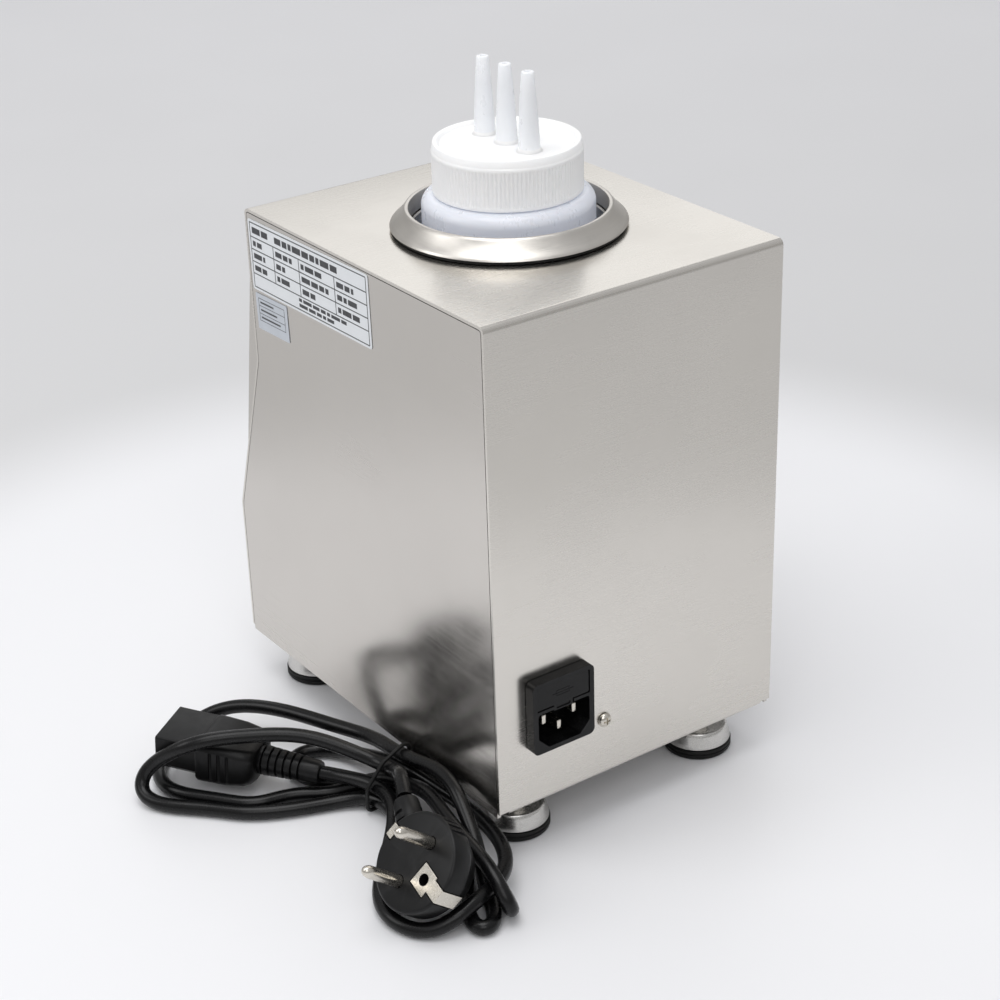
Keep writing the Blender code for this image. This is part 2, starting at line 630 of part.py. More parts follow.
for name, (px, py) in pins.items():
    inlet = cut(inlet, block("slot", (2.6, 4.6, 30), (px, py, -20), R))
finished(inlet, "black")
for name, (px, py) in pins.items():
    finished(block(name, (2.0, 4.0, 28.0), (px, py, FACE - 3.2 - 14.0), R, 0.4, 1), "nickel")
drawer = block("fuse_drawer", (DRAW_W - 0.6, DRAW_H - 0.6, 2.3), (0, DRAW_Y, FACE - 1.55), R)
drawer = join(drawer, block("tab", (TAB_W - 0.6, DRAW_Y - TAB_LOW - 0.3, 2.3), (0, (DRAW_Y + TAB_LOW + 0.3) / 2, FACE - 1.55), R))
drawer = join(drawer, block("tray", (21.8, 8.0, 17.0), (0, DRAW_Y, FACE - 2.2 - 8.5), R))
drawer = cut(
    drawer,
    block("trough", (20.8, 9.0, 6.2), (0, DRAW_Y + 1.0, FACE - 14.6), R),
    block("spare", (20.8, 9.0, 5.4), (0, DRAW_Y + 1.0, FACE - 7.2), R),
)
finished(drawer, "black")
fuse_m = R @ moved(0, DRAW_Y + 0.2, FACE - 14.6) @ Matrix.Rotation(math.pi / 2, 4, "Y")
finished(rod("fuse_link", 2.55, -10.0, 10.0, fuse_m, 12, 0.3), "glass")

m = on_rear(EARTH_X, EARTH_Z)
screw = turned("earth_screw", [(0, 2.3), (1.3, 2.15), (2.4, 1.5), (2.85, 0.6), (2.85, GAP), (1.7, GAP), (1.7, -9.5), (0, -9.5)], m, 18)
screw = cut(screw, block("slot", (3.1, 0.75, 1.7), (0, 0, 2.2), m), block("slot", (0.75, 3.1, 1.7), (0, 0, 2.2), m))
finished(screw, "nickel")
finished(flat("earth_nut", ring(3.9, 6), -SHEET - GAP - 2.6, -SHEET - GAP, m, [ring(2.0, 10)]), "nickel")

# wiring between the inlet, the earth stud, the switch and the thermostat
def behind(x, y, back):
    return R @ Vector((x * MM, y * MM, (FACE - 3.2 - 28.0 - back) * MM)) / MM


(lx, ly), (nx, ny), (ex, ey) = pins.values()
sw = on_panel(SWITCH_X) @ Vector((0, -6 * MM, -22.9 * MM)) / MM
sw_back = on_panel(SWITCH_X) @ Vector((0, -6 * MM, -32 * MM)) / MM
live_route = [behind(lx, ly, 0.4), behind(lx, ly, 5), (55, 44, 44), (61, 20, 34), (61, -14, 31), (44, -52, 30), (4, -62, 34), (-34, -48, 58), sw_back, sw]
neutral_route = [behind(nx, ny, 0.8), behind(nx, ny, 4), (27, 60.0, 47), (14, 63, 40), (-20, 66, 32), (-44, 52, 31), (-52, 40, 34), (-40, 34, 30.5), (-14, 17, 29)]
earth_route = [behind(ex, ey, 0.4), behind(ex, ey, 5), (34, 60, 42), (25, 64, 40), (EARTH_X + 1, 72, 43), (EARTH_X, 76, EARTH_Z), (EARTH_X, 82.6, EARTH_Z)]
finished(tube("live_wire", smooth_curve(live_route, 32), 1.3, 1), "brown")
finished(tube("neutral_wire", smooth_curve(neutral_route, 28), 1.3, 1), "blue")
finished(tube("earth_wire", smooth_curve(earth_route, 16), 1.3, 1), "green")

# ---------------------------------------------------------------- labels on the right-hand side panel
face = CASE_W / 2
turn = math.radians(1.1)


def on_side(y, z, angle):
    """Local X towards +Y, Y up, Z out of the right-hand side, turned by angle."""
    return frame_at((face, y, z), (0, math.cos(angle), math.sin(angle)), (0, -math.sin(angle), math.cos(angle)))


finished(flat("rating_label", rectangle(86.2, 28.8, 0, 0, 1.0, 2), 0.1, 0.3, on_side(-21.2, 201.9, turn)), "label")
finished(flat("inspection_label", rectangle(23.8, 15.0, 0, 0, 0.4, 2), 0.1, 0.3, on_side(-50.8, 178.3, 2 * turn)), "label_grey")

# ---------------------------------------------------------------- bottle with its three-nozzle cap
bw = BOTTLE_WALL
bottle = turned(
    "bottle_body",
    [(0, BOTTLE_Z + 2.0), (24, BOTTLE_Z + 0.5), (27.5, BOTTLE_Z), (31.2, BOTTLE_Z + 1.6), (BOTTLE_R, BOTTLE_Z + 5.5),
     (BOTTLE_R, SHOULDER_Z - 5.0), (31.9, SHOULDER_Z - 2.3), (30.2, SHOULDER_Z - 0.6), (28.4, SHOULDER_Z), (NECK_R, SHOULDER_Z + 0.2),
     (NECK_R, NECK_TOP_Z), (NECK_R - 1.6, NECK_TOP_Z), (NECK_R - 1.6, SHOULDER_Z - 1.0), (29.2, SHOULDER_Z - 1.7), (30.9, SHOULDER_Z - 3.3),
     (BOTTLE_R - bw, SHOULDER_Z - 5.6), (BOTTLE_R - bw, BOTTLE_Z + 6.0), (30.4, BOTTLE_Z + 2.6), (27.4, BOTTLE_Z + 1.2), (24, BOTTLE_Z + 1.7), (0, BOTTLE_Z + 3.1)],
    WELL, 32,
)
finished(bottle, "bottle")
finished(turned("cap_seal", [(19.5, NECK_TOP_Z + GAP), (26.0, NECK_TOP_Z + GAP), (26.0, NECK_TOP_Z + 1.3), (19.5, NECK_TOP_Z + 1.3)], WELL, 28), "white")
cap = turned(
    "bottle_cap",
    [(0, CAP_PLATE_Z), (25.0, CAP_PLATE_Z), (25.9, CAP_TOP_Z), (27.1, CAP_TOP_Z), (27.6, CAP_TOP_Z - 0.6),
     (27.7, CAP_STEP_Z), (CAP_R, CAP_STEP_Z - 0.6), (CAP_R, CAP_LOW_Z), (NECK_R + 0.6, CAP_LOW_Z),
     (NECK_R + 0.6, CAP_PLATE_Z - 1.9), (NECK_R + 0.1, CAP_PLATE_Z - 1.4), (0, CAP_PLATE_Z - 1.4)],
    WELL, 36,
)
for k in (-1, 0, 1):
    m = WELL @ moved(0, NOZZLE_PITCH * k, 0)
    z0 = CAP_PLATE_Z
    cap = join(
        cap,
        turned("nozzle", [(0, z0 - 0.7), (4.5, z0 - 0.7), (4.5, z0 + 0.2), (4.1, z0 + 1.0), (3.05, NOZZLE_TIP_Z - 9), (2.25, NOZZLE_TIP_Z), (0, NOZZLE_TIP_Z)], m, 12),
    )
for k in (-1, 0, 1):
    m = WELL @ moved(0, NOZZLE_PITCH * k, 0)
    cap = cut(cap, turned("channel", [(0, z0 - 3), (3.4, z0 - 3), (2.0, NOZZLE_TIP_Z - 9), (1.3, NOZZLE_TIP_Z + 1), (0, NOZZLE_TIP_Z + 1)], m, 8))
finished(cap, "white")

# ---------------------------------------------------------------- route of the mains lead (mm)
CORD_D = 5.8
TIE_RUN = (0.2, -0.98, 0.0)  # direction of the bundle through the tie
SLOTS = {  # where each of the seven strands passes the tie
    "over_1": (72.6, 35.5, 22.2), "over_2": (79.2, 34.0, 19.4), "mid_1": (72.4, 33.5, 15.8), "mid_2": (77.8, 33.5, 13.0),
    "mid_3": (85.0, 33.5, 12.8), "under_1": (77.6, 33.0, 6.6), "under_2": (84.2, 32.5, 6.4),
}
C13_FRONT, C13_END = (135.5, -41.5, 16.5), (96.0, 12.0, 11.5)
PLUG_FACE, PLUG_NORMAL = (109.7, 99.7, 25.0), (0.77, 0.047, 0.637)
PLUG_U1, PLUG_U2 = (0.629, -0.231, -0.743), (0.113, 0.972, -0.207)  # along the pins' line, along the earth contacts' line
PLUG_RELIEF_END = (94.0, 70.0, 30.5)


def unit(v):
    v = np.array(v, float)
    return v / np.linalg.norm(v)


def through_tie(name, way):
    c, run = np.array(SLOTS[name]), np.array(TIE_RUN)
    return [tuple(c + run * 4.0 * way), tuple(c - run * 4.0 * way)]


def lead_guide():
    """The lead in order, from the connector's strain relief to the plug's: three loops on each side of the tie."""
    g = [(96, 12, 11.5), (92.2, 17.3, 11.4), (88.4, 24, 11.2)] + through_tie("mid_3", 1)
    g += [(86, 45, 13), (90.5, 56, 15), (98, 66, 13), (108, 75.5, 8), (115.8, 83.5, 4.2), (118.6, 91, 4.6), (117.8, 101, 5.2), (109.5, 107.8, 6.6)]
    g += [(99.3, 112, 9.2), (84.7, 112.3, 9.8), (75.5, 108, 10.5), (70.2, 100, 11.4), (67.2, 90, 12.6), (66.5, 76, 14), (68, 60, 15)]
    g += through_tie("mid_1", -1)
    g += [(73, 15, 11), (74.5, 2, 6.5), (78, -9, 3.6), (85.5, -17, 3.2), (94.5, -16, 3.2), (98.5, -7, 3.2), (95, 4, 3.2), (88, 13, 3.2), (82.5, 22, 3.8)]
    g += through_tie("under_1", 1)
    g += [(77, 50, 3.4), (77, 64, 3.2), (77, 78, 3.2), (80, 90, 3.2), (86, 101, 3.2), (92.5, 108, 3.2), (99.5, 115.5, 3.2), (101, 122.5, 3.2), (95.5, 126.5, 3.2), (88.5, 122, 3.2)]
    g += [(84.5, 112, 3.2), (82.5, 103, 6), (79, 95, 13), (76.5, 86, 19.5), (73.5, 76, 24.5), (71.2, 64, 26.6), (71, 50, 25)]
    g += through_tie("over_1", -1)
    g += [(71.2, 14, 18.5), (78, -8, 16.5), (88, -31, 16), (96.5, -46, 14), (104, -56, 10.5), (113, -61, 6), (123, -58, 3.6), (133, -51, 3.2), (141, -41.5, 3.2)]
    g += [(145, -31, 3.2), (142, -20.5, 3.2), (135, -12, 3.4), (125, -4, 3.4), (113, 4, 3.2), (103, 9, 3.2), (96, 13, 3.2), (88, 20, 5), (81.5, 26.5, 8.5)]
    g += through_tie("mid_2", 1)
    g += [(76.6, 46, 15.5), (76.6, 58, 19.6), (79.8, 70, 20.6), (82, 82, 20.6), (83.5, 96, 19.6), (84.5, 109, 18), (85.5, 119, 14.5), (86.5, 125.5, 9.5)]
    g += [(86, 126.5, 5), (83, 120, 3.2), (80.5, 111, 3.2), (78.5, 102, 3.4), (84, 90, 3.2), (85.5, 76, 3.2), (84.5, 58, 3.2), (84.2, 46, 3.6)]
    g += through_tie("under_2", -1)
    g += [(88.5, 24.5, 3.4), (98, 21, 3.2), (113, 16, 3.2), (125, 7, 3.2), (139, -6, 3.2), (148, -15, 3.2), (154.5, -23, 3.2), (156.5, -31, 4.6), (153, -34, 9)]
    g += [(147, -31, 15), (138.5, -22.5, 22.5), (128, -12.5, 27), (115, -3, 28.9), (101, 5, 27.5), (90, 16, 23.8), (83, 25, 20)]
    g += through_tie("over_2", 1)
    g += [(81.5, 43.5, 22), (85.3, 52, 28.5), (89.5, 61, 32), (94, 70, 30.5)]
    return np.array(g, float)


def spaced(points, step):
    """Points evenly spaced, about step apart, on a smooth curve through points."""
    p = np.vstack([2 * points[0] - points[1], points, 2 * points[-1] - points[-2]])
    fine = []
    for i in range(1, len(p) - 2):
        a, b, c, d = p[i - 1 : i + 3]
        tb = math.sqrt(np.linalg.norm(b - a))
        tc = tb + math.sqrt(np.linalg.norm(c - b))
        td = tc + math.sqrt(np.linalg.norm(d - c))
        for t in np.linspace(tb, tc, 16, endpoint=False):
            ab, bc, cd = a * (tb - t) / tb + b * t / tb, b * (tc - t) / (tc - tb) + c * (t - tb) / (tc - tb), c * (td - t) / (td - tc) + d * (t - tc) / (td - tc)
            abc, bcd = ab * (tc - t) / tc + bc * t / tc, bc * (td - t) / (td - tb) + cd * (t - tb) / (td - tb)
            fine.append(abc * (tc - t) / (tc - tb) + bcd * (t - tb) / (tc - tb))
    fine = np.array(fine + [p[-2]])
    run = np.concatenate([[0.0], np.cumsum(np.linalg.norm(np.diff(fine, axis=0), axis=1))])
    want = np.linspace(0.0, run[-1], int(round(run[-1] / step)) + 1)
    return np.stack([np.interp(want, run, fine[:, k]) for k in range(3)], axis=1)


def out_of_box(p, centre, axes, half, clear):
    local = (p - centre) @ axes.T
    over = np.maximum(np.abs(local) - half, 0)
    gap = np.linalg.norm(over, axis=1)
    deepest = (np.abs(local) - half).argmax(axis=1)
    inside = gap == 0
    over[inside, deepest[inside]] = 1.0
    depth = np.where(inside, (np.abs(local) - half).max(axis=1), gap)
    way = np.sign(local) * over / np.maximum(np.linalg.norm(over, axis=1), 1e-9)[:, None]
    return (way * np.maximum(clear - depth, 0)[:, None]) @ axes, depth


def out_of_rod(p, a, b, radius, clear):
    a, b = np.array(a, float), np.array(b, float)
    t = np.clip((p - a) @ (b - a) / ((b - a) @ (b - a)), 0, 1)
    d = p - (a + t[:, None] * (b - a))
    far = np.linalg.norm(d, axis=1)
    return d / np.maximum(far, 1e-9)[:, None] * np.maximum(clear + radius - far, 0)[:, None], far - radius


def out_of_plug(p, clear):
    n, face = unit(PLUG_NORMAL), np.array(PLUG_FACE)
    push, nearest = np.zeros_like(p), np.full(len(p), 1e9)
    for t in np.arange(0.0, 19.1, 1.0):
        r = min(19.0, 19.0 - (t - 9.0) * 0.6)
        d = p - (face - n * t)
        along = d @ n
        flat_d = d - np.outer(along, n)
        rim = np.linalg.norm(flat_d, axis=1)
        over = np.maximum(rim - r, 0)
        gap = np.hypot(over, along)
        way = flat_d / np.maximum(rim, 1e-9)[:, None] * over[:, None] + np.outer(along, n)
        way[gap < 0.5] = flat_d[gap < 0.5]
        way /= np.maximum(np.linalg.norm(way, axis=1), 1e-9)[:, None]
        closer = gap < nearest
        nearest[closer] = gap[closer]
        push[closer] = (way * np.maximum(clear - gap, 0)[:, None])[closer]
    return push, nearest


def connector_axes():
    along = unit(np.array(C13_END) - np.array(C13_FRONT))
    across = unit(np.cross((0, 0, 1), along))
    return np.array([along, across, np.cross(along, across)])


def lead_route():
    """The lead's centreline: the guide, eased until no strand touches another, the casing, the connector, the plug or the table."""
    p = spaced(lead_guide(), 3.0)
    axes = connector_axes()
    body = np.array(C13_FRONT) + axes[0] * 21.0
    relief = np.array(C13_FRONT) + axes[0] * 42.0
    plug_body = np.array(PLUG_FACE) - unit(PLUG_NORMAL) * 10 - unit(PLUG_U2) * 14
    for stage in range(2):
        n = len(p)
        index = np.arange(n)
        apart = np.abs(index[:, None] - index[None]) > 4
        free = ((index > 3) & (index < n - 4)).astype(float)[:, None]
        clear_of_ends = ((index > 6) & (index < n - 7)).astype(float)[:, None]
        home = p.copy()
        for _ in range(170):
            d = p[:, None] - p[None]
            far = np.linalg.norm(d, axis=2)
            near = apart & (far < 6.3)
            push = (d / np.maximum(far, 1e-9)[:, :, None] * np.where(near, (6.3 - far) / 2, 0)[:, :, None]).sum(axis=1)
            push /= np.sqrt(np.maximum(near.sum(axis=1), 1))[:, None]
            push += out_of_box(p, np.array([0, 1.0, 120.0]), np.eye(3), np.array([67.0, 92.0, 99.0]), 3.5)[0]
            push += clear_of_ends * (
                out_of_box(p, body, axes, np.array([21.0, 13.0, 9.0]), 3.9)[0] + out_of_rod(p, relief, C13_END, 5.0, 3.8)[0]
                + out_of_plug(p, 3.9)[0] + out_of_rod(p, PLUG_RELIEF_END, plug_body, 6.0, 3.6)[0]
            )
            push += out_of_rod(p, (46.1, 73, 2), (46.1, 73, 11), 12.2, 3.6)[0]
            ease = np.zeros_like(p)
            ease[2:-2] = -(p[:-4] - 4 * p[1:-3] + 6 * p[2:-2] - 4 * p[3:-1] + p[4:]) / 16
            p = p + free * (0.55 * push + 0.9 * ease + 0.003 * (home - p))
            p[:, 2] = np.maximum(p[:, 2], 3.15)
        p = spaced(np.vstack([p[:-1:2], p[-1:]]), 3.0)
    return p


def lead_points(route, tolerance=0.8, least=8.0, most=20.0):
    """Fewer points on the route, closer together where it bends."""
    keep, i = [0], 0
    while i < len(route) - 1:
        j = i + 1
        while j < len(route) - 1:
            k = j + 1
            chord = route[k] - route[i]
            inner = route[i + 1 : k] - route[i]
            off = np.linalg.norm(inner - np.outer(inner @ chord, chord) / (chord @ chord), axis=1).max()
            length = np.linalg.norm(chord)
            if length > most or (off > tolerance and length > least):
                break
            j = k
        keep.append(j)
        i = j
    return route[keep]


def tie_loop(route, radius, count=44):
    """The tie's centreline: a closed loop round the strands, in the plane where they cross the tie."""
    centre = np.mean([SLOTS[name] for name in sorted(SLOTS)], axis=0)
    normal = unit((0.2, -0.98, 0.2))
    across = unit(np.cross((0, 0, 1), normal))
    up = np.cross(normal, across)
    side = (route - centre) @ normal
    crossing = []
    for i in np.where(side[:-1] * side[1:] < 0)[0]:
        p = route[i] + (route[i + 1] - route[i]) * side[i] / (side[i] - side[i + 1])
        if np.linalg.norm(p - centre) < 25:
            crossing.append(((p - centre) @ across, (p - centre) @ up))
    crossing = np.array(crossing)
    loop = []
    for angle in np.linspace(0, 2 * math.pi, 240, endpoint=False):
        way = np.array([math.cos(angle), math.sin(angle)])
        reach = crossing @ way
        loop.append(crossing[reach.argmax()] + way * (CORD_D / 2 + radius + 0.85))
    loop = np.array(loop + loop[:1])
    run = np.concatenate([[0.0], np.cumsum(np.linalg.norm(np.diff(loop, axis=0), axis=1))])
    want = np.linspace(0, run[-1], count, endpoint=False)
    loop = np.stack([np.interp(want, run, loop[:, k]) for k in range(2)], axis=1)
    loop = centre + loop[:, :1] * across + loop[:, 1:] * up
    loop[:, 2] = np.maximum(loop[:, 2], 0.95)
    loop[:, 0] = np.maximum(loop[:, 0], CASE_W / 2 + 1.2)
    return loop


# ---------------------------------------------------------------- mains lead: connector, cord, tie and plug
route = lead_route()
finished(tube("lead_cord", lead_points(route), CORD_D / 2), "pvc", 60)
TIE_R = 0.8
finished(tube("lead_tie", tie_loop(route, TIE_R), TIE_R, 1, cyclic=True), "black", 60)

along, across, up = connector_axes()
C = frame_at(C13_FRONT, across, up)  # local Z runs from the mating face towards the cord
REACH = float(np.linalg.norm(np.array(C13_END) - np.array(C13_FRONT))) - 0.5
nose = [(-12, 8), (-12, -4.4), (-8.4, -8), (8.4, -8), (12, -4.4), (12, 8)]
connector = flat("c13_connector", nose, 0.0, 20.0, C)
connector = join(
    connector,
    block("grip", (26.0, 18.0, 24.0), (0, 0, 29.0), C, 3.0, 2),
    turned("relief", [(0, 38.0), (6.4, 38.0), (5.6, 44.0), (4.9, REACH), (0, REACH)], C, 16),
)
for px, py in ((-7.0, 2.0), (7.0, 2.0), (0.0, -2.4)):
    connector = cut(connector, block("slot", (2.4, 5.0, 28.0), (px, py, 0), C))
finished(connector, "black")

K = frame_at(PLUG_FACE, PLUG_U1, PLUG_U2)  # local Z points out of the pin face
plug = turned("plug_body", [(0, 0), (18.3, 0), (19.0, -0.8), (19.0, -9.0), (13.4, -18.4), (12.4, -19.0), (0, -19.0)], K, 32)
start = np.array(PLUG_FACE) - unit(PLUG_NORMAL) * 10 - unit(PLUG_U2) * 12
reach = np.array(PLUG_RELIEF_END) - start
u = unit(np.cross(reach, (1, 0, 0)))
E = frame_at(start, u, np.cross(unit(reach), u))
size = float(np.linalg.norm(reach)) - 1.5
plug = join(plug, turned("relief", [(0, -4), (6.8, -4), (6.2, 8), (4.8, size), (0, size)], E, 16))
EARTH_U, EARTH_V = 0.8, 8.6
for x in (-9.5, 9.5):
    plug = cut(plug, rod("hole", 2.75, -6.5, 2.0, K @ moved(x, 0, 0), 12))
plug = cut(
    plug,
    rod("hole", 2.6, -13.0, 2.0, K @ moved(EARTH_U, EARTH_V, 0), 12),
    block("groove", (6.6, 5.0, 24.0), (0, 20.4, -6.0), K),
    block("groove", (6.6, 5.0, 24.0), (0, -20.4, -6.0), K),
    block("seat", (10.2, 9.4, 2.2), (EARTH_U, EARTH_V, 0), K),
    block("seat", (6.6, 9.0, 2.2), (0, 15.0, 0), K),
    block("seat", (6.6, 4.4, 2.2), (0, -17.4, 0), K),
)
finished(plug, "black")
for i, x in enumerate((-9.5, 9.5)):
    finished(turned("plug_pin_%d" % (i + 1), [(0, 19.0), (1.3, 18.6), (2.2, 17.2), (2.4, 15.6), (2.4, -6.0), (0, -6.0)], K @ moved(x, 0, 0), 14), "nickel")
contact = block("plug_earth_contact_1", (9.4, 8.6, 0.8), (EARTH_U, EARTH_V, -0.3), K)
contact = cut(contact, rod("hole", 2.3, -2, 2, K @ moved(EARTH_U, EARTH_V, 0), 12))
contact = join(contact, block("strip", (5.6, 7.6, 0.8), (0, 15.0, -0.3), K), block("side", (5.6, 0.8, 11.0), (0, 18.4, -5.4), K))
finished(contact, "nickel")
contact = block("plug_earth_contact_2", (5.6, 3.2, 0.8), (0, -17.2, -0.3), K)
contact = join(contact, block("side", (5.6, 0.8, 11.0), (0, -18.4, -5.4), K))
finished(contact, "nickel")

# ---------------------------------------------------------------- origins on the joint axes
bottle_axis = joint_axis("bottle_lift_axis", moved(0, WELL_Y, BOTTLE_Z))
cap_axis = joint_axis("cap_turn_axis", moved(0, WELL_Y, CAP_LOW_Z))
knob_axis = joint_axis("knob_turn_axis", on_panel(KNOB_X))
rocker_axis = joint_axis("rocker_press_axis", PIVOT)
fuse_axis = joint_axis("fuse_drawer_axis", R)
named = bpy.data.objects
for node, empty in (
    ("bottle_body", bottle_axis), ("cap_seal", cap_axis), ("bottle_cap", cap_axis), ("control_knob", knob_axis), ("thermostat_shaft", knob_axis),
    ("rocker_switch_paddle", rocker_axis), ("fuse_drawer", fuse_axis), ("fuse_link", fuse_axis),
):
    own_origin(named[node], empty.matrix_basis.copy())
    ride(empty, named[node])
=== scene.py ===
"""Single-bottle sauce warmer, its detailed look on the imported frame: sheet-metal casing, bottle with its ribbed cap, knob, rocker, mains inlet and the tied mains lead."""

import math

import bmesh
import bpy
import numpy as np
from mathutils import Matrix, Vector


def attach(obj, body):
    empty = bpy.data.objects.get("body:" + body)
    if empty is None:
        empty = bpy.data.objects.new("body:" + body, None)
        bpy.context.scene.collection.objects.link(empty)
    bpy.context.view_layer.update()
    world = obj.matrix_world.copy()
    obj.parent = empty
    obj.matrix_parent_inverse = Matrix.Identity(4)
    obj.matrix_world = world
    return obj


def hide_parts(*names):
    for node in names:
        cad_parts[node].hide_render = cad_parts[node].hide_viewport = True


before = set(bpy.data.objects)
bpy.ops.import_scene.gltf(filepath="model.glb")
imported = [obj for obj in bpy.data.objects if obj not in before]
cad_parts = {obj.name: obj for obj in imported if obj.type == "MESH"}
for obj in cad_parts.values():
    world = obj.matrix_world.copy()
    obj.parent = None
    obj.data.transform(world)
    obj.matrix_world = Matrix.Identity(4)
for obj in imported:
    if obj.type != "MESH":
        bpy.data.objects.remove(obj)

scene = bpy.context.scene


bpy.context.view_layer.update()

# ---------------------------------------------------------------- camera (m)
cam_data = bpy.data.cameras.new("view")
cam_data.sensor_width = 36.0
cam_data.lens = 78.85
cam_data.shift_x = 0.0143
cam_data.shift_y = 0.0103
cam_data.dof.use_dof = False
camera = bpy.data.objects.new("view", cam_data)
scene.collection.objects.link(camera)
RIGHT = (-0.815565, 0.577797, -0.031706)
UP = (-0.285815, -0.354578, 0.890272)
BACK = (0.503154, 0.735136, 0.454324)
view = Matrix((RIGHT, UP, BACK)).transposed().to_4x4()
view.translation = Vector((0.4500, 0.6505, 0.4962))
camera.matrix_world = view
scene.camera = camera

MM = 0.001

# ---------------------------------------------------------------- driving dimensions (mm)
CASE_W = 134.0  # across the two side panels
REAR_Y = 93.0  # outer face of the rear panel
FRONT_LOW_Y = -91.0  # lower front face
FRONT_TOP_Y = -67.0  # upper front face
BASE_Z = 21.0  # underside of the casing above the table
TOP_Z = 219.0  # top plate
SLOPE_LOW_Z = 82.5  # the sloped control panel's two bends
SLOPE_TOP_Z = 155.0
SHEET = 1.2  # casing sheet
BEND = 2.6  # outside radius of its bends
GAP = 0.3  # clearance kept between touching pieces
HEM = 12.0  # depth of the folded bottom hems
PAN_FLANGE = 10.0  # depth of the side pans' flanges

WELL_Y = 15.3  # axis of the well, on the machine's centre plane
WELL_R = 36.6  # inside radius of the heated well
WELL_WALL = 0.8
WELL_FLOOR_Z = 35.5
COLLAR_R = 44.8  # foot of the collar's cone
LIP_R = 38.2  # top lip of the collar
COLLAR_H = 8.4

BOTTLE_R = 32.6
BOTTLE_WALL = 1.1
BOTTLE_Z = 38.0  # underside of the bottle
SHOULDER_Z = 232.7
NECK_R = 26.2
NECK_TOP_Z = 248.0
CAP_R = 28.2
CAP_LOW_Z = 233.2
CAP_STEP_Z = 249.4
CAP_TOP_Z = 252.4
CAP_PLATE_Z = 251.0
NOZZLE_PITCH = 14.0
NOZZLE_TIP_Z = 280.3

FOOT_X, FOOT_Y = 46.1, 73.0
PAD_R, PAD_H = 13.8, 4.0

KNOB_X, LAMP_X, SWITCH_X = 28.0, -10.0, -40.0
KNOB_H = 16.56

INLET_X, INLET_Z = 39.7, 61.25  # centre of the mains inlet's bezel
INLET_PROUD = 4.8
EARTH_X, EARTH_Z = 17.5, 46.2

# ---------------------------------------------------------------- light settings
# Floor colours by distance from the machine: FLOOR_NEAR, within about 0.3 m, is a painted pool of light round it.
# FLOOR_MID is the darker grey beyond it, and FLOOR_FAR is lighter again far out.
FLOOR_NEAR, FLOOR_MID, FLOOR_FAR = (0.86, 0.862, 0.88), (0.66, 0.66, 0.665), (0.93, 0.93, 0.95)
WORLD_LOW, WORLD_HIGH, WORLD_STRENGTH = (0.58, 0.572, 0.56), (0.95, 0.955, 0.98), 0.62
LIGHTS = [
    ("key", (0.25, 0.10, 1.6), (0.0, 0.0, 0.05), (1.0, 1.0), 9.6),
    ("left", (1.15, -0.55, 1.0), (0.05, 0.0, 0.08), (0.7, 0.7), 3.6),
    ("back", (-0.75, -1.15, 1.05), (0.0, 0.0, 0.15), (1.3, 1.0), 3.0),
    ("fill", (0.75, 1.15, 1.25), (0.0, 0.0, 0.2), (1.1, 0.9), 5.0),
]

PARTS = bpy.data.collections.new("look")
CUTTERS = bpy.data.collections.new("cutters")
scene.collection.children.link(PARTS)
scene.collection.children.link(CUTTERS)


# ---------------------------------------------------------------- helpers
def frame_at(origin, u, v):
    """A matrix whose local X, Y, Z run along u, v and u x v, at origin (mm)."""
    u, v = Vector(u).normalized(), Vector(v).normalized()
    w = u.cross(v)
    m = Matrix((u, v, w)).transposed().to_4x4()
    m.translation = Vector(origin) * MM
    return m


def moved(x, y, z):
    return Matrix.Translation(Vector((x, y, z)) * MM)


def linked(obj, matrix=None):
    PARTS.objects.link(obj)
    if matrix is not None:
        obj.matrix_basis = matrix
    return obj


def baked(obj):
    """The object as a plain mesh, with its modifiers or curve bevel applied and its caps welded."""
    bpy.context.view_layer.update()
    graph = bpy.context.evaluated_depsgraph_get()
    mesh = bpy.data.meshes.new_from_object(obj.evaluated_get(graph))
    bm = bmesh.new()
    bm.from_mesh(mesh)
    bmesh.ops.remove_doubles(bm, verts=bm.verts, dist=2e-6)
    bmesh.ops.dissolve_degenerate(bm, edges=bm.edges, dist=1e-7)
    bm.to_mesh(mesh)
    bm.free()
    name, matrix = obj.name, obj.matrix_basis.copy()
    bpy.data.objects.remove(obj, do_unlink=True)
    mesh.name = name
    return linked(bpy.data.objects.new(name, mesh), matrix)


def clockwise(points):
    area = sum(a[0] * b[1] - b[0] * a[1] for a, b in zip(points, points[1:] + points[:1]))
    return points if area < 0 else points[::-1]


def turned(name, profile, matrix=None, steps=32):
    """A turned piece: profile is (radius, height) in mm round local Z; a profile that ends on the axis stays open there."""
    pts = clockwise([tuple(map(float, p)) for p in profile])
    on_axis = [i for i, p in enumerate(pts) if p[0] == 0.0]
    closed = not on_axis
    if on_axis:  # start right after the edge that lies along the axis
        for i in on_axis:
            if pts[i - 1][0] == 0.0:
                pts = pts[i:] + pts[:i]
                break
    bm = bmesh.new()
    verts = [bm.verts.new((r * MM, 0.0, z * MM)) for r, z in pts]
    for a, b in zip(verts, verts[1:]):
        bm.edges.new((a, b))
    if closed:
        bm.edges.new((verts[-1], verts[0]))
    mesh = bpy.data.meshes.new(name)
    bm.to_mesh(mesh)
    bm.free()
    obj = linked(bpy.data.objects.new(name, mesh), matrix)
    screw = obj.modifiers.new("turn", "SCREW")
    screw.axis = "Z"
    screw.steps = screw.render_steps = steps
    screw.use_merge_vertices = True
    screw.merge_threshold = 1e-6
    return baked(obj)


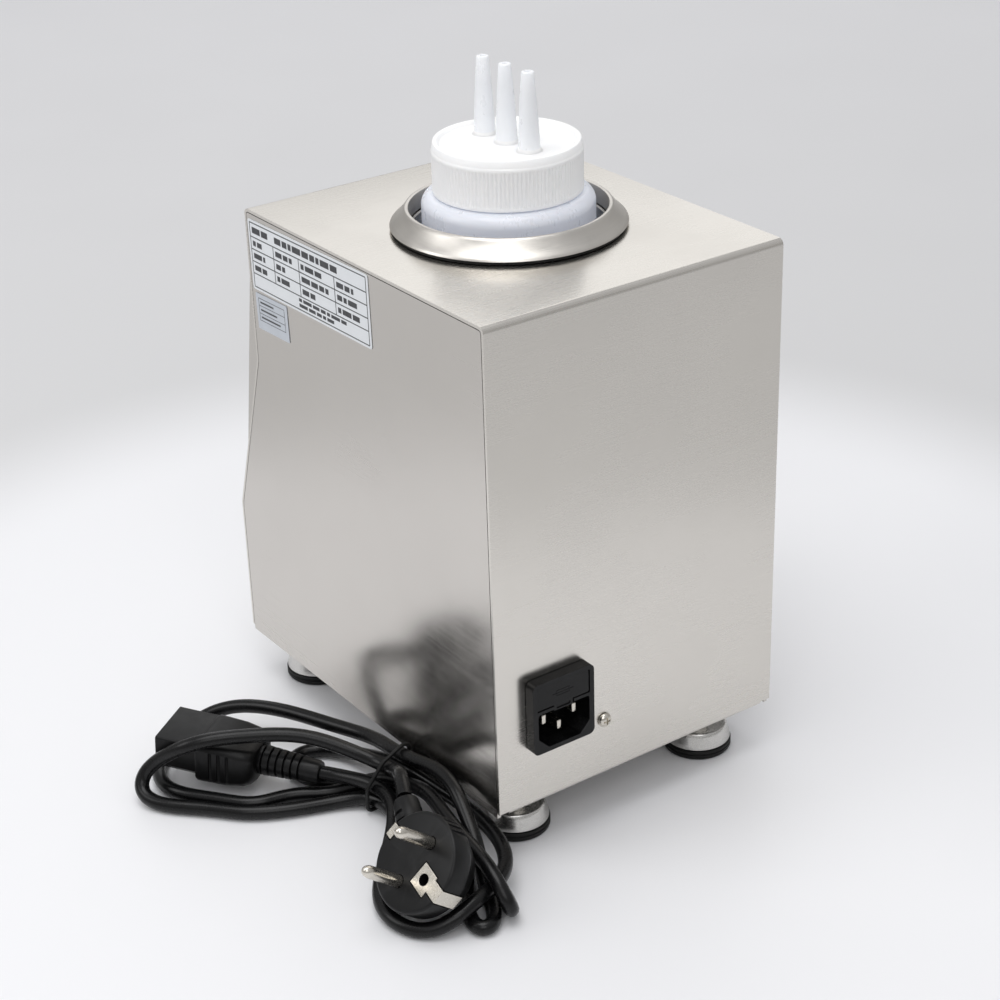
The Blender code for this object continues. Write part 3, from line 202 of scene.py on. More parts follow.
def block(name, size, centre=(0, 0, 0), matrix=None, bevel=0.0, segments=2, edges="all"):
    """A box of size (mm) about centre, in the matrix's frame, with its edges (or only those along local Z) rounded."""
    bm = bmesh.new()
    bmesh.ops.create_cube(bm, size=1.0)
    bmesh.ops.scale(bm, vec=Vector(size) * MM, verts=bm.verts)
    bmesh.ops.translate(bm, vec=Vector(centre) * MM, verts=bm.verts)
    if bevel:
        chosen = [
            e for e in bm.edges
            if edges == "all" or abs((e.verts[0].co - e.verts[1].co).normalized().z) > 0.99
        ]
        bmesh.ops.bevel(bm, geom=chosen, offset=bevel * MM, segments=segments, affect="EDGES", profile=0.5)
    mesh = bpy.data.meshes.new(name)
    bm.to_mesh(mesh)
    bm.free()
    return linked(bpy.data.objects.new(name, mesh), matrix)


def rod(name, radius, low, high, matrix=None, steps=16, chamfer=0.0):
    c = chamfer
    if c:
        prof = [(0, low), (radius - c, low), (radius, low + c), (radius, high - c), (radius - c, high), (0, high)]
    else:
        prof = [(0, low), (radius, low), (radius, high), (0, high)]
    return turned(name, prof, matrix, steps)


def flat(name, outline, low, high, matrix=None, holes=()):
    """A flat piece: outline (and holes) are 2D points in mm, extruded from low to high along local Z."""
    curve = bpy.data.curves.new(name, "CURVE")
    curve.dimensions = "2D"
    curve.fill_mode = "BOTH"
    curve.extrude = (high - low) / 2 * MM
    for loop in (outline, *holes):
        spline = curve.splines.new("POLY")
        spline.points.add(len(loop) - 1)
        for point, (x, y) in zip(spline.points, loop):
            point.co = (x * MM, y * MM, 0.0, 1.0)
        spline.use_cyclic_u = True
    obj = linked(bpy.data.objects.new(name, curve))
    obj = baked(obj)
    obj.data.transform(moved(0, 0, (low + high) / 2))
    if matrix is not None:
        obj.matrix_basis = matrix
    bm = bmesh.new()
    bm.from_mesh(obj.data)
    bmesh.ops.recalc_face_normals(bm, faces=bm.faces)
    bm.to_mesh(obj.data)
    bm.free()
    return obj


def tube(name, points, radius, resolution=2, cyclic=False):
    """A wire or cord through points (mm), round in section."""
    curve = bpy.data.curves.new(name, "CURVE")
    curve.dimensions = "3D"
    curve.bevel_depth = radius * MM
    curve.bevel_resolution = resolution
    curve.use_fill_caps = not cyclic
    spline = curve.splines.new("POLY")
    spline.points.add(len(points) - 1)
    for point, p in zip(spline.points, points):
        point.co = (p[0] * MM, p[1] * MM, p[2] * MM, 1.0)
    spline.use_cyclic_u = cyclic
    return baked(linked(bpy.data.objects.new(name, curve)))


def combined(target, other, operation="DIFFERENCE"):
    """target with other cut away (or joined on), by an exact Boolean; other is used up."""
    PARTS.objects.unlink(other)
    CUTTERS.objects.link(other)
    other.hide_render = True
    other.display_type = "WIRE"
    cut = target.modifiers.new("boolean", "BOOLEAN")
    cut.operation = operation
    cut.solver = "EXACT"
    cut.object = other
    result = baked(target)
    bpy.data.objects.remove(other, do_unlink=True)
    return result


def cut(target, *others):
    for other in others:
        target = combined(target, other)
    return target


def join(target, *others):
    for other in others:
        target = combined(target, other, "UNION")
    return target










def rounded(points, radii, steps=4, closed=False):
    """The 2D path with each corner replaced by an arc."""
    out, n = [], len(points)
    for i, p in enumerate(points):
        r = radii[i] if hasattr(radii, "__len__") else radii
        if (not closed and i in (0, n - 1)) or r <= 0:
            out.append(tuple(p))
            continue
        p, a, b = np.array(p, float), np.array(points[i - 1], float), np.array(points[(i + 1) % n], float)
        u, v = (a - p) / np.linalg.norm(a - p), (b - p) / np.linalg.norm(b - p)
        half = math.acos(max(-1.0, min(1.0, float(u @ v)))) / 2
        back = r / math.tan(half)
        centre = p + (u + v) / np.linalg.norm(u + v) * (r / math.sin(half))
        start, end = p + u * back - centre, p + v * back - centre
        turn = math.atan2(start[0] * end[1] - start[1] * end[0], float(start @ end))
        for k in range(steps + 1):
            t = turn * k / steps
            c, s = math.cos(t), math.sin(t)
            q = centre + np.array([c * start[0] - s * start[1], s * start[0] + c * start[1]])
            out.append((float(q[0]), float(q[1])))
    return out


def ring(radius, steps=32, cx=0.0, cy=0.0):
    return [
        (cx + radius * math.cos(2 * math.pi * k / steps), cy + radius * math.sin(2 * math.pi * k / steps))
        for k in range(steps)
    ]


def rectangle(w, h, cx=0.0, cy=0.0, r=0.0, steps=3):
    pts = [(cx - w / 2, cy - h / 2), (cx + w / 2, cy - h / 2), (cx + w / 2, cy + h / 2), (cx - w / 2, cy + h / 2)]
    return rounded(pts, r, steps, closed=True) if r else pts


# ---------------------------------------------------------------- frames of the sloped panel and the rear panel
slope_dir = Vector((0.0, FRONT_TOP_Y - FRONT_LOW_Y, SLOPE_TOP_Z - SLOPE_LOW_Z)).normalized()  # up the slope
PANEL_MID = Vector((0.0, (FRONT_TOP_Y + FRONT_LOW_Y) / 2, (SLOPE_TOP_Z + SLOPE_LOW_Z) / 2))


def on_panel(x):
    """Local X across, Y up the slope, Z out of the panel."""
    return frame_at((x, PANEL_MID.y, PANEL_MID.z), (1, 0, 0), slope_dir)


def on_rear(x, z):
    """Local X towards -X, Y up, Z out of the rear panel."""
    return frame_at((x, REAR_Y, z), (-1, 0, 0), (0, 0, 1))


def upright(x, y):
    return moved(x, y, 0)


WELL = upright(0, WELL_Y)

# ---------------------------------------------------------------- materials
def stretched(nt, source, scale):
    node = nt.nodes.new("ShaderNodeMapping")
    node.inputs["Scale"].default_value = scale
    nt.links.new(source, node.inputs["Vector"])
    return node.outputs["Vector"]


def noise(nt, source, scale, detail=3.0, roughness=0.55):
    node = nt.nodes.new("ShaderNodeTexNoise")
    node.inputs["Scale"].default_value = scale
    node.inputs["Detail"].default_value = detail
    node.inputs["Roughness"].default_value = roughness
    nt.links.new(source, node.inputs["Vector"])
    return node.outputs["Fac"]


def spread(nt, value, low, high, start=0.3, end=0.7):
    """value, from start to end, as low to high."""
    node = nt.nodes.new("ShaderNodeMapRange")
    node.inputs["From Min"].default_value = start
    node.inputs["From Max"].default_value = end
    node.inputs["To Min"].default_value = low
    node.inputs["To Max"].default_value = high
    nt.links.new(value, node.inputs["Value"])
    return node.outputs["Result"]


def sum_of(nt, a, b, operation="ADD"):
    node = nt.nodes.new("ShaderNodeMath")
    node.operation = operation
    nt.links.new(a, node.inputs[0])
    if hasattr(b, "links"):
        nt.links.new(b, node.inputs[1])
    else:
        node.inputs[1].default_value = b
    return node.outputs[0]


def between(nt, factor, dark, light):
    node = nt.nodes.new("ShaderNodeMix")
    node.data_type = "RGBA"
    nt.links.new(factor, node.inputs["Factor"])
    node.inputs["A"].default_value = (*dark, 1.0)
    node.inputs["B"].default_value = (*light, 1.0)
    return node.outputs["Result"]


def bumped(nt, shader, height, strength, distance):
    node = nt.nodes.new("ShaderNodeBump")
    node.inputs["Strength"].default_value = strength
    node.inputs["Distance"].default_value = distance
    nt.links.new(height, node.inputs["Height"])
    nt.links.new(node.outputs["Normal"], shader.inputs["Normal"])


def around_well(nt, source, fine, along):
    """Coordinates for brushing that runs round the well's axis: radius, angle and height."""
    off = nt.nodes.new("ShaderNodeMapping")
    off.inputs["Location"].default_value = (0, -WELL_Y * MM, 0)
    nt.links.new(source, off.inputs["Vector"])
    parts = nt.nodes.new("ShaderNodeSeparateXYZ")
    nt.links.new(off.outputs["Vector"], parts.inputs["Vector"])
    x, y, z = parts.outputs
    radius = sum_of(nt, sum_of(nt, sum_of(nt, x, x, "MULTIPLY"), sum_of(nt, y, y, "MULTIPLY")), 0.5, "POWER")
    angle = sum_of(nt, y, x, "ARCTAN2")
    out = nt.nodes.new("ShaderNodeCombineXYZ")
    nt.links.new(sum_of(nt, radius, fine, "MULTIPLY"), out.inputs[0])
    nt.links.new(sum_of(nt, angle, along, "MULTIPLY"), out.inputs[1])
    nt.links.new(sum_of(nt, z, fine, "MULTIPLY"), out.inputs[2])
    return out.outputs[0]


def surface(name, colour, rough, metal=0.0, vary=0.06, blotch=30.0, grain=None, grain_rough=0.08, fine=1800.0, bump=0.12, depth=2e-5, wear=0.0, **fixed):
    """A shader whose colour, roughness and height all vary: soft blotches, a fine texture and, with grain, brushed lines."""
    mat = bpy.data.materials.new(name)
    mat.use_nodes = True
    nt = mat.node_tree
    shader = nt.nodes["Principled BSDF"]
    place = nt.nodes.new("ShaderNodeTexCoord").outputs["Object"]
    soft = noise(nt, place, blotch, 4.0)
    if grain == "round":
        lines = noise(nt, around_well(nt, place, 2600.0, 5.0), 1.0, 4.0, 0.7)
    elif grain:
        lines = noise(nt, stretched(nt, place, grain), 1.0, 4.0, 0.7)
    else:
        lines = noise(nt, place, fine, 3.0)
    tone = sum_of(nt, spread(nt, soft, 0.0, 0.6, 0.32, 0.68), spread(nt, lines, 0.0, 0.4, 0.25, 0.75))
    dark = tuple(c * (1 - vary) for c in colour)
    light = tuple(min(1.0, c * (1 + vary)) for c in colour)
    base = between(nt, tone, dark, light)
    if wear:
        edge = nt.nodes.new("ShaderNodeNewGeometry").outputs["Pointiness"]
        rub = sum_of(nt, spread(nt, edge, 0.0, 1.0, 0.52, 0.62), spread(nt, noise(nt, place, 240.0, 3.0), 0.0, 1.0, 0.4, 0.65), "MULTIPLY")
        worn = nt.nodes.new("ShaderNodeMix")
        worn.data_type = "RGBA"
        nt.links.new(rub, worn.inputs["Factor"])
        nt.links.new(base, worn.inputs["A"])
        worn.inputs["B"].default_value = tuple(c + wear for c in colour) + (1.0,)
        base = worn.outputs["Result"]
    nt.links.new(base, shader.inputs["Base Color"])
    patches = spread(nt, noise(nt, place, blotch * 1.7, 5.0, 0.6), -0.05, 0.06)
    nt.links.new(sum_of(nt, spread(nt, lines, rough - grain_rough, rough + grain_rough, 0.25, 0.75), patches), shader.inputs["Roughness"])
    shader.inputs["Metallic"].default_value = metal
    for key, value in fixed.items():
        shader.inputs[key.replace("_", " ")].default_value = value
    bumped(nt, shader, lines, bump, depth)
    mat.diffuse_color = (*colour, 1.0)
    return mat


MATS = {
    # The casing steel comes in two painted copies. The wrap's copy, with its grain across, is painted lighter, as
    # painted light on the top and rear. The side panels' copy, with its grain along, is painted darker, as painted
    # shade on the sides. Only the grain direction really differs.
    "steel_x_lit": surface("steel_grain_across_lit", (0.705, 0.678, 0.632), 0.26, 1.0, 0.035, 11.0, (5.0, 2600.0, 2600.0), 0.05, bump=0.14, depth=1.2e-5),
    "steel_y_shaded": surface("steel_grain_along_shaded", (0.615, 0.588, 0.552), 0.22, 1.0, 0.035, 11.0, (2600.0, 5.0, 2600.0), 0.05, bump=0.14, depth=1.2e-5),
    "steel_hidden": surface("steel_mill_finish", (0.60, 0.59, 0.57), 0.42, 1.0, 0.08, 22.0, (2200.0, 30.0, 2200.0), 0.08, bump=0.2, depth=1.5e-5),
    "steel_cup": surface("steel_turned", (0.64, 0.63, 0.61), 0.26, 1.0, 0.07, 60.0, (900.0, 900.0, 5200.0), 0.05, bump=0.15, depth=1.2e-5),
    "spun": surface("steel_spun", (0.665, 0.638, 0.595), 0.36, 1.0, 0.10, 40.0, "round", 0.08, bump=0.4, depth=2e-5),
    "nickel": surface("nickel_plate", (0.68, 0.645, 0.58), 0.24, 1.0, 0.07, 160.0, None, 0.05, 3200.0, 0.1, 1e-5),
    "copper": surface("copper_tube", (0.76, 0.42, 0.26), 0.3, 1.0, 0.12, 90.0, None, 0.08, 1400.0, 0.12, 1.5e-5),
    "black": surface("moulded_black", (0.0045, 0.0045, 0.0048), 0.34, 0.0, 0.25, 120.0, None, 0.05, 3400.0, 0.3, 2e-5, 0.008, Specular_IOR_Level=0.24),
    "gloss": surface("moulded_black_gloss", (0.0035, 0.0035, 0.0038), 0.16, 0.0, 0.25, 90.0, None, 0.04, 2600.0, 0.1, 1.2e-5, 0.006, Specular_IOR_Level=0.24),
    "plug": surface("moulded_grey_black", (0.0065, 0.0066, 0.007), 0.36, 0.0, 0.2, 110.0, None, 0.05, 3400.0, 0.3, 2e-5, 0.009, Specular_IOR_Level=0.26),
    "rubber": surface("black_rubber", (0.006, 0.006, 0.0058), 0.5, 0.0, 0.3, 140.0, None, 0.08, 2200.0, 0.35, 2.5e-5, 0.008, Specular_IOR_Level=0.25),
    "cord": surface("black_cord_sheath", (0.0035, 0.0035, 0.0038), 0.27, 0.0, 0.3, 70.0, None, 0.05, 2600.0, 0.2, 1.6e-5, Specular_IOR_Level=0.3),
    # The bottle, the cap and the nozzles glow faintly through their Emission: painted light, standing in for light
    # passing through the plastic.
    "bottle": surface("bottle_polyethylene_painted_glow", (0.78, 0.815, 0.90), 0.28, 0.0, 0.012, 26.0, (260.0, 260.0, 14.0), 0.03, bump=0.05, depth=2e-5,
                      Subsurface_Weight=0.6, Subsurface_Radius=(0.8, 0.9, 1.0), Subsurface_Scale=0.006, Transmission_Weight=0.12, IOR=1.5, Emission_Color=(0.82, 0.87, 1.0, 1.0), Emission_Strength=0.06),
    "cap": surface("cap_polyethylene_painted_glow", (0.90, 0.905, 0.91), 0.34, 0.0, 0.02, 60.0, None, 0.05, 2400.0, 0.15, 2e-5,
                   Subsurface_Weight=0.6, Subsurface_Radius=(0.9, 0.95, 1.0), Subsurface_Scale=0.004, IOR=1.5, Emission_Color=(1.0, 1.0, 1.0, 1.0), Emission_Strength=0.06),
    "nozzle": surface("nozzle_polyethylene_painted_glow", (0.88, 0.90, 0.93), 0.3, 0.0, 0.02, 60.0, (500.0, 500.0, 40.0), 0.03, bump=0.05, depth=1.5e-5,
                      Subsurface_Weight=0.5, Subsurface_Radius=(0.9, 0.95, 1.0), Subsurface_Scale=0.004, Transmission_Weight=0.08, IOR=1.45, Emission_Color=(0.93, 0.95, 1.0, 1.0), Emission_Strength=0.06),
    "label": surface("label_film", (0.80, 0.825, 0.85), 0.42, 0.0, 0.03, 60.0, None, 0.06, 1500.0, 0.15, 1.5e-5),
    "label_grey": surface("label_film_grey", (0.56, 0.595, 0.645), 0.46, 0.0, 0.06, 110.0, None, 0.06, 1500.0, 0.15, 1.5e-5),
    "ink": surface("label_ink", (0.045, 0.047, 0.052), 0.5, 0.0, 0.35, 420.0, None, 0.06, 2600.0, 0.1, 1e-5),
    "mark": surface("white_mark", (0.82, 0.82, 0.80), 0.45, 0.0, 0.05, 200.0, None, 0.06, 2200.0, 0.1, 1e-5),
    "silicone": surface("silicone_heater", (0.55, 0.12, 0.07), 0.6, 0.0, 0.15, 90.0, (500.0, 500.0, 900.0), 0.06, bump=0.3, depth=5e-5),
    "wool": surface("mineral_wool", (0.76, 0.72, 0.58), 0.92, 0.0, 0.2, 160.0, (260.0, 260.0, 1500.0), 0.05, bump=0.8, depth=4e-4),
    "ceramic": surface("ceramic", (0.82, 0.80, 0.75), 0.42, 0.0, 0.05, 120.0, None, 0.06, 1800.0, 0.2, 2e-5),
    "glass": surface("fuse_glass", (0.82, 0.86, 0.86), 0.08, 0.0, 0.04, 90.0, None, 0.02, 900.0, 0.05, 1e-5, Transmission_Weight=0.8),
    "red": surface("red_lens", (0.60, 0.022, 0.014), 0.2, 0.0, 0.12, 160.0, None, 0.04, 1500.0, 0.1, 1.5e-5, Subsurface_Weight=0.2, Subsurface_Scale=0.002, Transmission_Weight=0.2),
    "red_solid": surface("red_rocker", (0.50, 0.024, 0.018), 0.28, 0.0, 0.1, 160.0, None, 0.05, 2600.0, 0.15, 1.5e-5, 0.1),
    "live": surface("wire_brown", (0.20, 0.085, 0.032), 0.42, 0.0, 0.12, 140.0, None, 0.06, 1600.0, 0.2, 2e-5),
    "neutral": surface("wire_blue", (0.05, 0.15, 0.52), 0.42, 0.0, 0.12, 140.0, None, 0.06, 1600.0, 0.2, 2e-5),
    "earth": surface("wire_green", (0.30, 0.52, 0.06), 0.42, 0.0, 0.2, 140.0, None, 0.06, 1600.0, 0.2, 2e-5),
}


def placed(obj, kind, nodes=(), body="machine", angle=35, edge=0.0, segments=2):
    """Gives a finished piece its material and softened edges, and hands it to its body in place of the CAD nodes."""
    obj.data.transform(obj.matrix_basis)
    obj.matrix_basis = Matrix.Identity(4)
    obj.data.materials.clear()
    obj.data.materials.append(MATS[kind])
    obj.data.shade_smooth()
    obj.data.set_sharp_from_angle(angle=math.radians(angle))
    if edge:
        bevel = obj.modifiers.new("edge", "BEVEL")
        bevel.width = edge * MM
        bevel.segments = segments
        bevel.limit_method = "ANGLE"
        bevel.angle_limit = math.radians(40)
        bevel.harden_normals = True
        bevel.use_clamp_overlap = True
    if nodes:
        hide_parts(*nodes)
    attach(obj, body)
    return obj


def merged(name, objs):
    """Several meshes as one object, each where it is."""
    bm = bmesh.new()
    for obj in objs:
        mesh = obj.data.copy()
        mesh.transform(obj.matrix_basis)
        bm.from_mesh(mesh)
        bpy.data.meshes.remove(mesh)
        bpy.data.objects.remove(obj, do_unlink=True)
    mesh = bpy.data.meshes.new(name)
    bm.to_mesh(mesh)
    bm.free()
    return linked(bpy.data.objects.new(name, mesh))


def lathe(name, profile, matrix=None, steps=96, radius_at=None):
    """A turned piece whose radius may also change with the angle: radius_at(r, z, angle) gives it, in mm. The profile is an open line whose ends on the axis close it, or a ring."""
    bm = bmesh.new()
    rows, poles = [], {}
    for k in range(steps):
        a = 2 * math.pi * k / steps
        row = []
        for i, (r, z) in enumerate(profile):
            if r == 0.0:
                if i not in poles:
                    poles[i] = bm.verts.new((0, 0, z * MM))
                row.append(poles[i])
            else:
                rr = radius_at(r, z, a) if radius_at else r
                row.append(bm.verts.new((rr * math.cos(a) * MM, rr * math.sin(a) * MM, z * MM)))
        rows.append(row)
    n = len(profile)
    closed = not poles
    for k in range(steps):
        a, b = rows[k], rows[(k + 1) % steps]
        for i in range(n if closed else n - 1):
            j = (i + 1) % n
            corners = [a[i], b[i], b[j], a[j]]
            corners = [v for m, v in enumerate(corners) if v not in corners[:m]]
            if len(corners) > 2:
                bm.faces.new(corners)
    bmesh.ops.recalc_face_normals(bm, faces=bm.faces)
    mesh = bpy.data.meshes.new(name)
    bm.to_mesh(mesh)
    bm.free()
    return linked(bpy.data.objects.new(name, mesh), matrix)


def arc(centre, radius, start, end, steps):
    """(radius, height) points of an arc in a lathe's profile, angles in degrees."""
    return [
        (centre[0] + radius * math.cos(math.radians(start + (end - start) * k / steps)), centre[1] + radius * math.sin(math.radians(start + (end - start) * k / steps)))
        for k in range(steps + 1)
    ]


# ---------------------------------------------------------------- route of the mains lead (mm)
CORD_D = 5.8
TIE_RUN = (0.2, -0.98, 0.0)  # direction of the bundle through the tie
SLOTS = {  # where each of the seven strands passes the tie
    "over_1": (72.6, 35.5, 22.2), "over_2": (79.2, 34.0, 19.4), "mid_1": (72.4, 33.5, 15.8), "mid_2": (77.8, 33.5, 13.0),
    "mid_3": (85.0, 33.5, 12.8), "under_1": (77.6, 33.0, 6.6), "under_2": (84.2, 32.5, 6.4),
}
C13_FRONT, C13_END = (135.5, -41.5, 16.5), (96.0, 12.0, 11.5)
PLUG_FACE, PLUG_NORMAL = (109.7, 99.7, 25.0), (0.77, 0.047, 0.637)
PLUG_U1, PLUG_U2 = (0.629, -0.231, -0.743), (0.113, 0.972, -0.207)  # along the pins' line, along the earth contacts' line
PLUG_RELIEF_END = (94.0, 70.0, 30.5)


def unit(v):
    v = np.array(v, float)
    return v / np.linalg.norm(v)


def through_tie(name, way):
    c, run = np.array(SLOTS[name]), np.array(TIE_RUN)
    return [tuple(c + run * 4.0 * way), tuple(c - run * 4.0 * way)]


def lead_guide():
    """The lead in order, from the connector's strain relief to the plug's: three loops on each side of the tie."""
    g = [(96, 12, 11.5), (92.2, 17.3, 11.4), (88.4, 24, 11.2)] + through_tie("mid_3", 1)
    g += [(86, 45, 13), (90.5, 56, 15), (98, 66, 13), (108, 75.5, 8), (115.8, 83.5, 4.2), (118.6, 91, 4.6), (117.8, 101, 5.2), (109.5, 107.8, 6.6)]
    g += [(99.3, 112, 9.2), (84.7, 112.3, 9.8), (75.5, 108, 10.5), (70.2, 100, 11.4), (67.2, 90, 12.6), (66.5, 76, 14), (68, 60, 15)]
    g += through_tie("mid_1", -1)
    g += [(73, 15, 11), (74.5, 2, 6.5), (78, -9, 3.6), (85.5, -17, 3.2), (94.5, -16, 3.2), (98.5, -7, 3.2), (95, 4, 3.2), (88, 13, 3.2), (82.5, 22, 3.8)]
    g += through_tie("under_1", 1)
    g += [(77, 50, 3.4), (77, 64, 3.2), (77, 78, 3.2), (80, 90, 3.2), (86, 101, 3.2), (92.5, 108, 3.2), (99.5, 115.5, 3.2), (101, 122.5, 3.2), (95.5, 126.5, 3.2), (88.5, 122, 3.2)]
    g += [(84.5, 112, 3.2), (82.5, 103, 6), (79, 95, 13), (76.5, 86, 19.5), (73.5, 76, 24.5), (71.2, 64, 26.6), (71, 50, 25)]
    g += through_tie("over_1", -1)
    g += [(71.2, 14, 18.5), (78, -8, 16.5), (88, -31, 16), (96.5, -46, 14), (104, -56, 10.5), (113, -61, 6), (123, -58, 3.6), (133, -51, 3.2), (141, -41.5, 3.2)]
    g += [(145, -31, 3.2), (142, -20.5, 3.2), (135, -12, 3.4), (125, -4, 3.4), (113, 4, 3.2), (103, 9, 3.2), (96, 13, 3.2), (88, 20, 5), (81.5, 26.5, 8.5)]
    g += through_tie("mid_2", 1)
    g += [(76.6, 46, 15.5), (76.6, 58, 19.6), (79.8, 70, 20.6), (82, 82, 20.6), (83.5, 96, 19.6), (84.5, 109, 18), (85.5, 119, 14.5), (86.5, 125.5, 9.5)]
    g += [(86, 126.5, 5), (83, 120, 3.2), (80.5, 111, 3.2), (78.5, 102, 3.4), (84, 90, 3.2), (85.5, 76, 3.2), (84.5, 58, 3.2), (84.2, 46, 3.6)]
    g += through_tie("under_2", -1)
    g += [(88.5, 24.5, 3.4), (98, 21, 3.2), (113, 16, 3.2), (125, 7, 3.2), (139, -6, 3.2), (148, -15, 3.2), (154.5, -23, 3.2), (156.5, -31, 4.6), (153, -34, 9)]
    g += [(147, -31, 15), (138.5, -22.5, 22.5), (128, -12.5, 27), (115, -3, 28.9), (101, 5, 27.5), (90, 16, 23.8), (83, 25, 20)]
    g += through_tie("over_2", 1)
    g += [(81.5, 43.5, 22), (85.3, 52, 28.5), (89.5, 61, 32), (94, 70, 30.5)]
    return np.array(g, float)


def spaced(points, step):
    """Points evenly spaced, about step apart, on a smooth curve through points."""
    p = np.vstack([2 * points[0] - points[1], points, 2 * points[-1] - points[-2]])
    fine = []
    for i in range(1, len(p) - 2):
        a, b, c, d = p[i - 1 : i + 3]
        tb = math.sqrt(np.linalg.norm(b - a))
        tc = tb + math.sqrt(np.linalg.norm(c - b))
        td = tc + math.sqrt(np.linalg.norm(d - c))
        for t in np.linspace(tb, tc, 16, endpoint=False):
            ab, bc, cd = a * (tb - t) / tb + b * t / tb, b * (tc - t) / (tc - tb) + c * (t - tb) / (tc - tb), c * (td - t) / (td - tc) + d * (t - tc) / (td - tc)
            abc, bcd = ab * (tc - t) / tc + bc * t / tc, bc * (td - t) / (td - tb) + cd * (t - tb) / (td - tb)
            fine.append(abc * (tc - t) / (tc - tb) + bcd * (t - tb) / (tc - tb))
    fine = np.array(fine + [p[-2]])
    run = np.concatenate([[0.0], np.cumsum(np.linalg.norm(np.diff(fine, axis=0), axis=1))])
    want = np.linspace(0.0, run[-1], int(round(run[-1] / step)) + 1)
    return np.stack([np.interp(want, run, fine[:, k]) for k in range(3)], axis=1)


def out_of_box(p, centre, axes, half, clear):
    local = (p - centre) @ axes.T
    over = np.maximum(np.abs(local) - half, 0)
    gap = np.linalg.norm(over, axis=1)
    deepest = (np.abs(local) - half).argmax(axis=1)
    inside = gap == 0
    over[inside, deepest[inside]] = 1.0
    depth = np.where(inside, (np.abs(local) - half).max(axis=1), gap)
    way = np.sign(local) * over / np.maximum(np.linalg.norm(over, axis=1), 1e-9)[:, None]
    return (way * np.maximum(clear - depth, 0)[:, None]) @ axes, depth


def out_of_rod(p, a, b, radius, clear):
    a, b = np.array(a, float), np.array(b, float)
    t = np.clip((p - a) @ (b - a) / ((b - a) @ (b - a)), 0, 1)
    d = p - (a + t[:, None] * (b - a))
    far = np.linalg.norm(d, axis=1)
    return d / np.maximum(far, 1e-9)[:, None] * np.maximum(clear + radius - far, 0)[:, None], far - radius


def out_of_plug(p, clear):
    n, face = unit(PLUG_NORMAL), np.array(PLUG_FACE)
    push, nearest = np.zeros_like(p), np.full(len(p), 1e9)
    for t in np.arange(0.0, 19.1, 1.0):
        r = min(19.0, 19.0 - (t - 9.0) * 0.6)
        d = p - (face - n * t)
        along = d @ n
        flat_d = d - np.outer(along, n)
        rim = np.linalg.norm(flat_d, axis=1)
        over = np.maximum(rim - r, 0)
        gap = np.hypot(over, along)
        way = flat_d / np.maximum(rim, 1e-9)[:, None] * over[:, None] + np.outer(along, n)
        way[gap < 0.5] = flat_d[gap < 0.5]
        way /= np.maximum(np.linalg.norm(way, axis=1), 1e-9)[:, None]
        closer = gap < nearest
        nearest[closer] = gap[closer]
        push[closer] = (way * np.maximum(clear - gap, 0)[:, None])[closer]
    return push, nearest


def connector_axes():
    along = unit(np.array(C13_END) - np.array(C13_FRONT))
    across = unit(np.cross((0, 0, 1), along))
    return np.array([along, across, np.cross(along, across)])


def lead_route():
    """The lead's centreline: the guide, eased until no strand touches another, the casing, the connector, the plug or the table."""
    p = spaced(lead_guide(), 3.0)
    axes = connector_axes()
    body = np.array(C13_FRONT) + axes[0] * 21.0
    relief = np.array(C13_FRONT) + axes[0] * 42.0
    plug_body = np.array(PLUG_FACE) - unit(PLUG_NORMAL) * 10 - unit(PLUG_U2) * 14
    for stage in range(2):
        n = len(p)
        index = np.arange(n)
        apart = np.abs(index[:, None] - index[None]) > 4
        free = ((index > 3) & (index < n - 4)).astype(float)[:, None]
        clear_of_ends = ((index > 6) & (index < n - 7)).astype(float)[:, None]
        home = p.copy()
        for _ in range(170):
            d = p[:, None] - p[None]
            far = np.linalg.norm(d, axis=2)
            near = apart & (far < 6.3)
            push = (d / np.maximum(far, 1e-9)[:, :, None] * np.where(near, (6.3 - far) / 2, 0)[:, :, None]).sum(axis=1)
            push /= np.sqrt(np.maximum(near.sum(axis=1), 1))[:, None]
            push += out_of_box(p, np.array([0, 1.0, 120.0]), np.eye(3), np.array([67.0, 92.0, 99.0]), 3.5)[0]
            push += clear_of_ends * (
                out_of_box(p, body, axes, np.array([21.0, 13.0, 9.0]), 3.9)[0] + out_of_rod(p, relief, C13_END, 5.0, 3.8)[0]
                + out_of_plug(p, 3.9)[0] + out_of_rod(p, PLUG_RELIEF_END, plug_body, 6.0, 3.6)[0]
            )
            push += out_of_rod(p, (46.1, 73, 2), (46.1, 73, 11), 12.2, 3.6)[0]
            ease = np.zeros_like(p)
            ease[2:-2] = -(p[:-4] - 4 * p[1:-3] + 6 * p[2:-2] - 4 * p[3:-1] + p[4:]) / 16
            p = p + free * (0.55 * push + 0.9 * ease + 0.003 * (home - p))
            p[:, 2] = np.maximum(p[:, 2], 3.15)
        p = spaced(np.vstack([p[:-1:2], p[-1:]]), 3.0)
    return p


def lead_points(route, tolerance=0.8, least=8.0, most=20.0):
    """Fewer points on the route, closer together where it bends."""
    keep, i = [0], 0
    while i < len(route) - 1:
        j = i + 1
        while j < len(route) - 1:
            k = j + 1
            chord = route[k] - route[i]
            inner = route[i + 1 : k] - route[i]
            off = np.linalg.norm(inner - np.outer(inner @ chord, chord) / (chord @ chord), axis=1).max()
            length = np.linalg.norm(chord)
            if length > most or (off > tolerance and length > least):
                break
            j = k
        keep.append(j)
        i = j
    return route[keep]


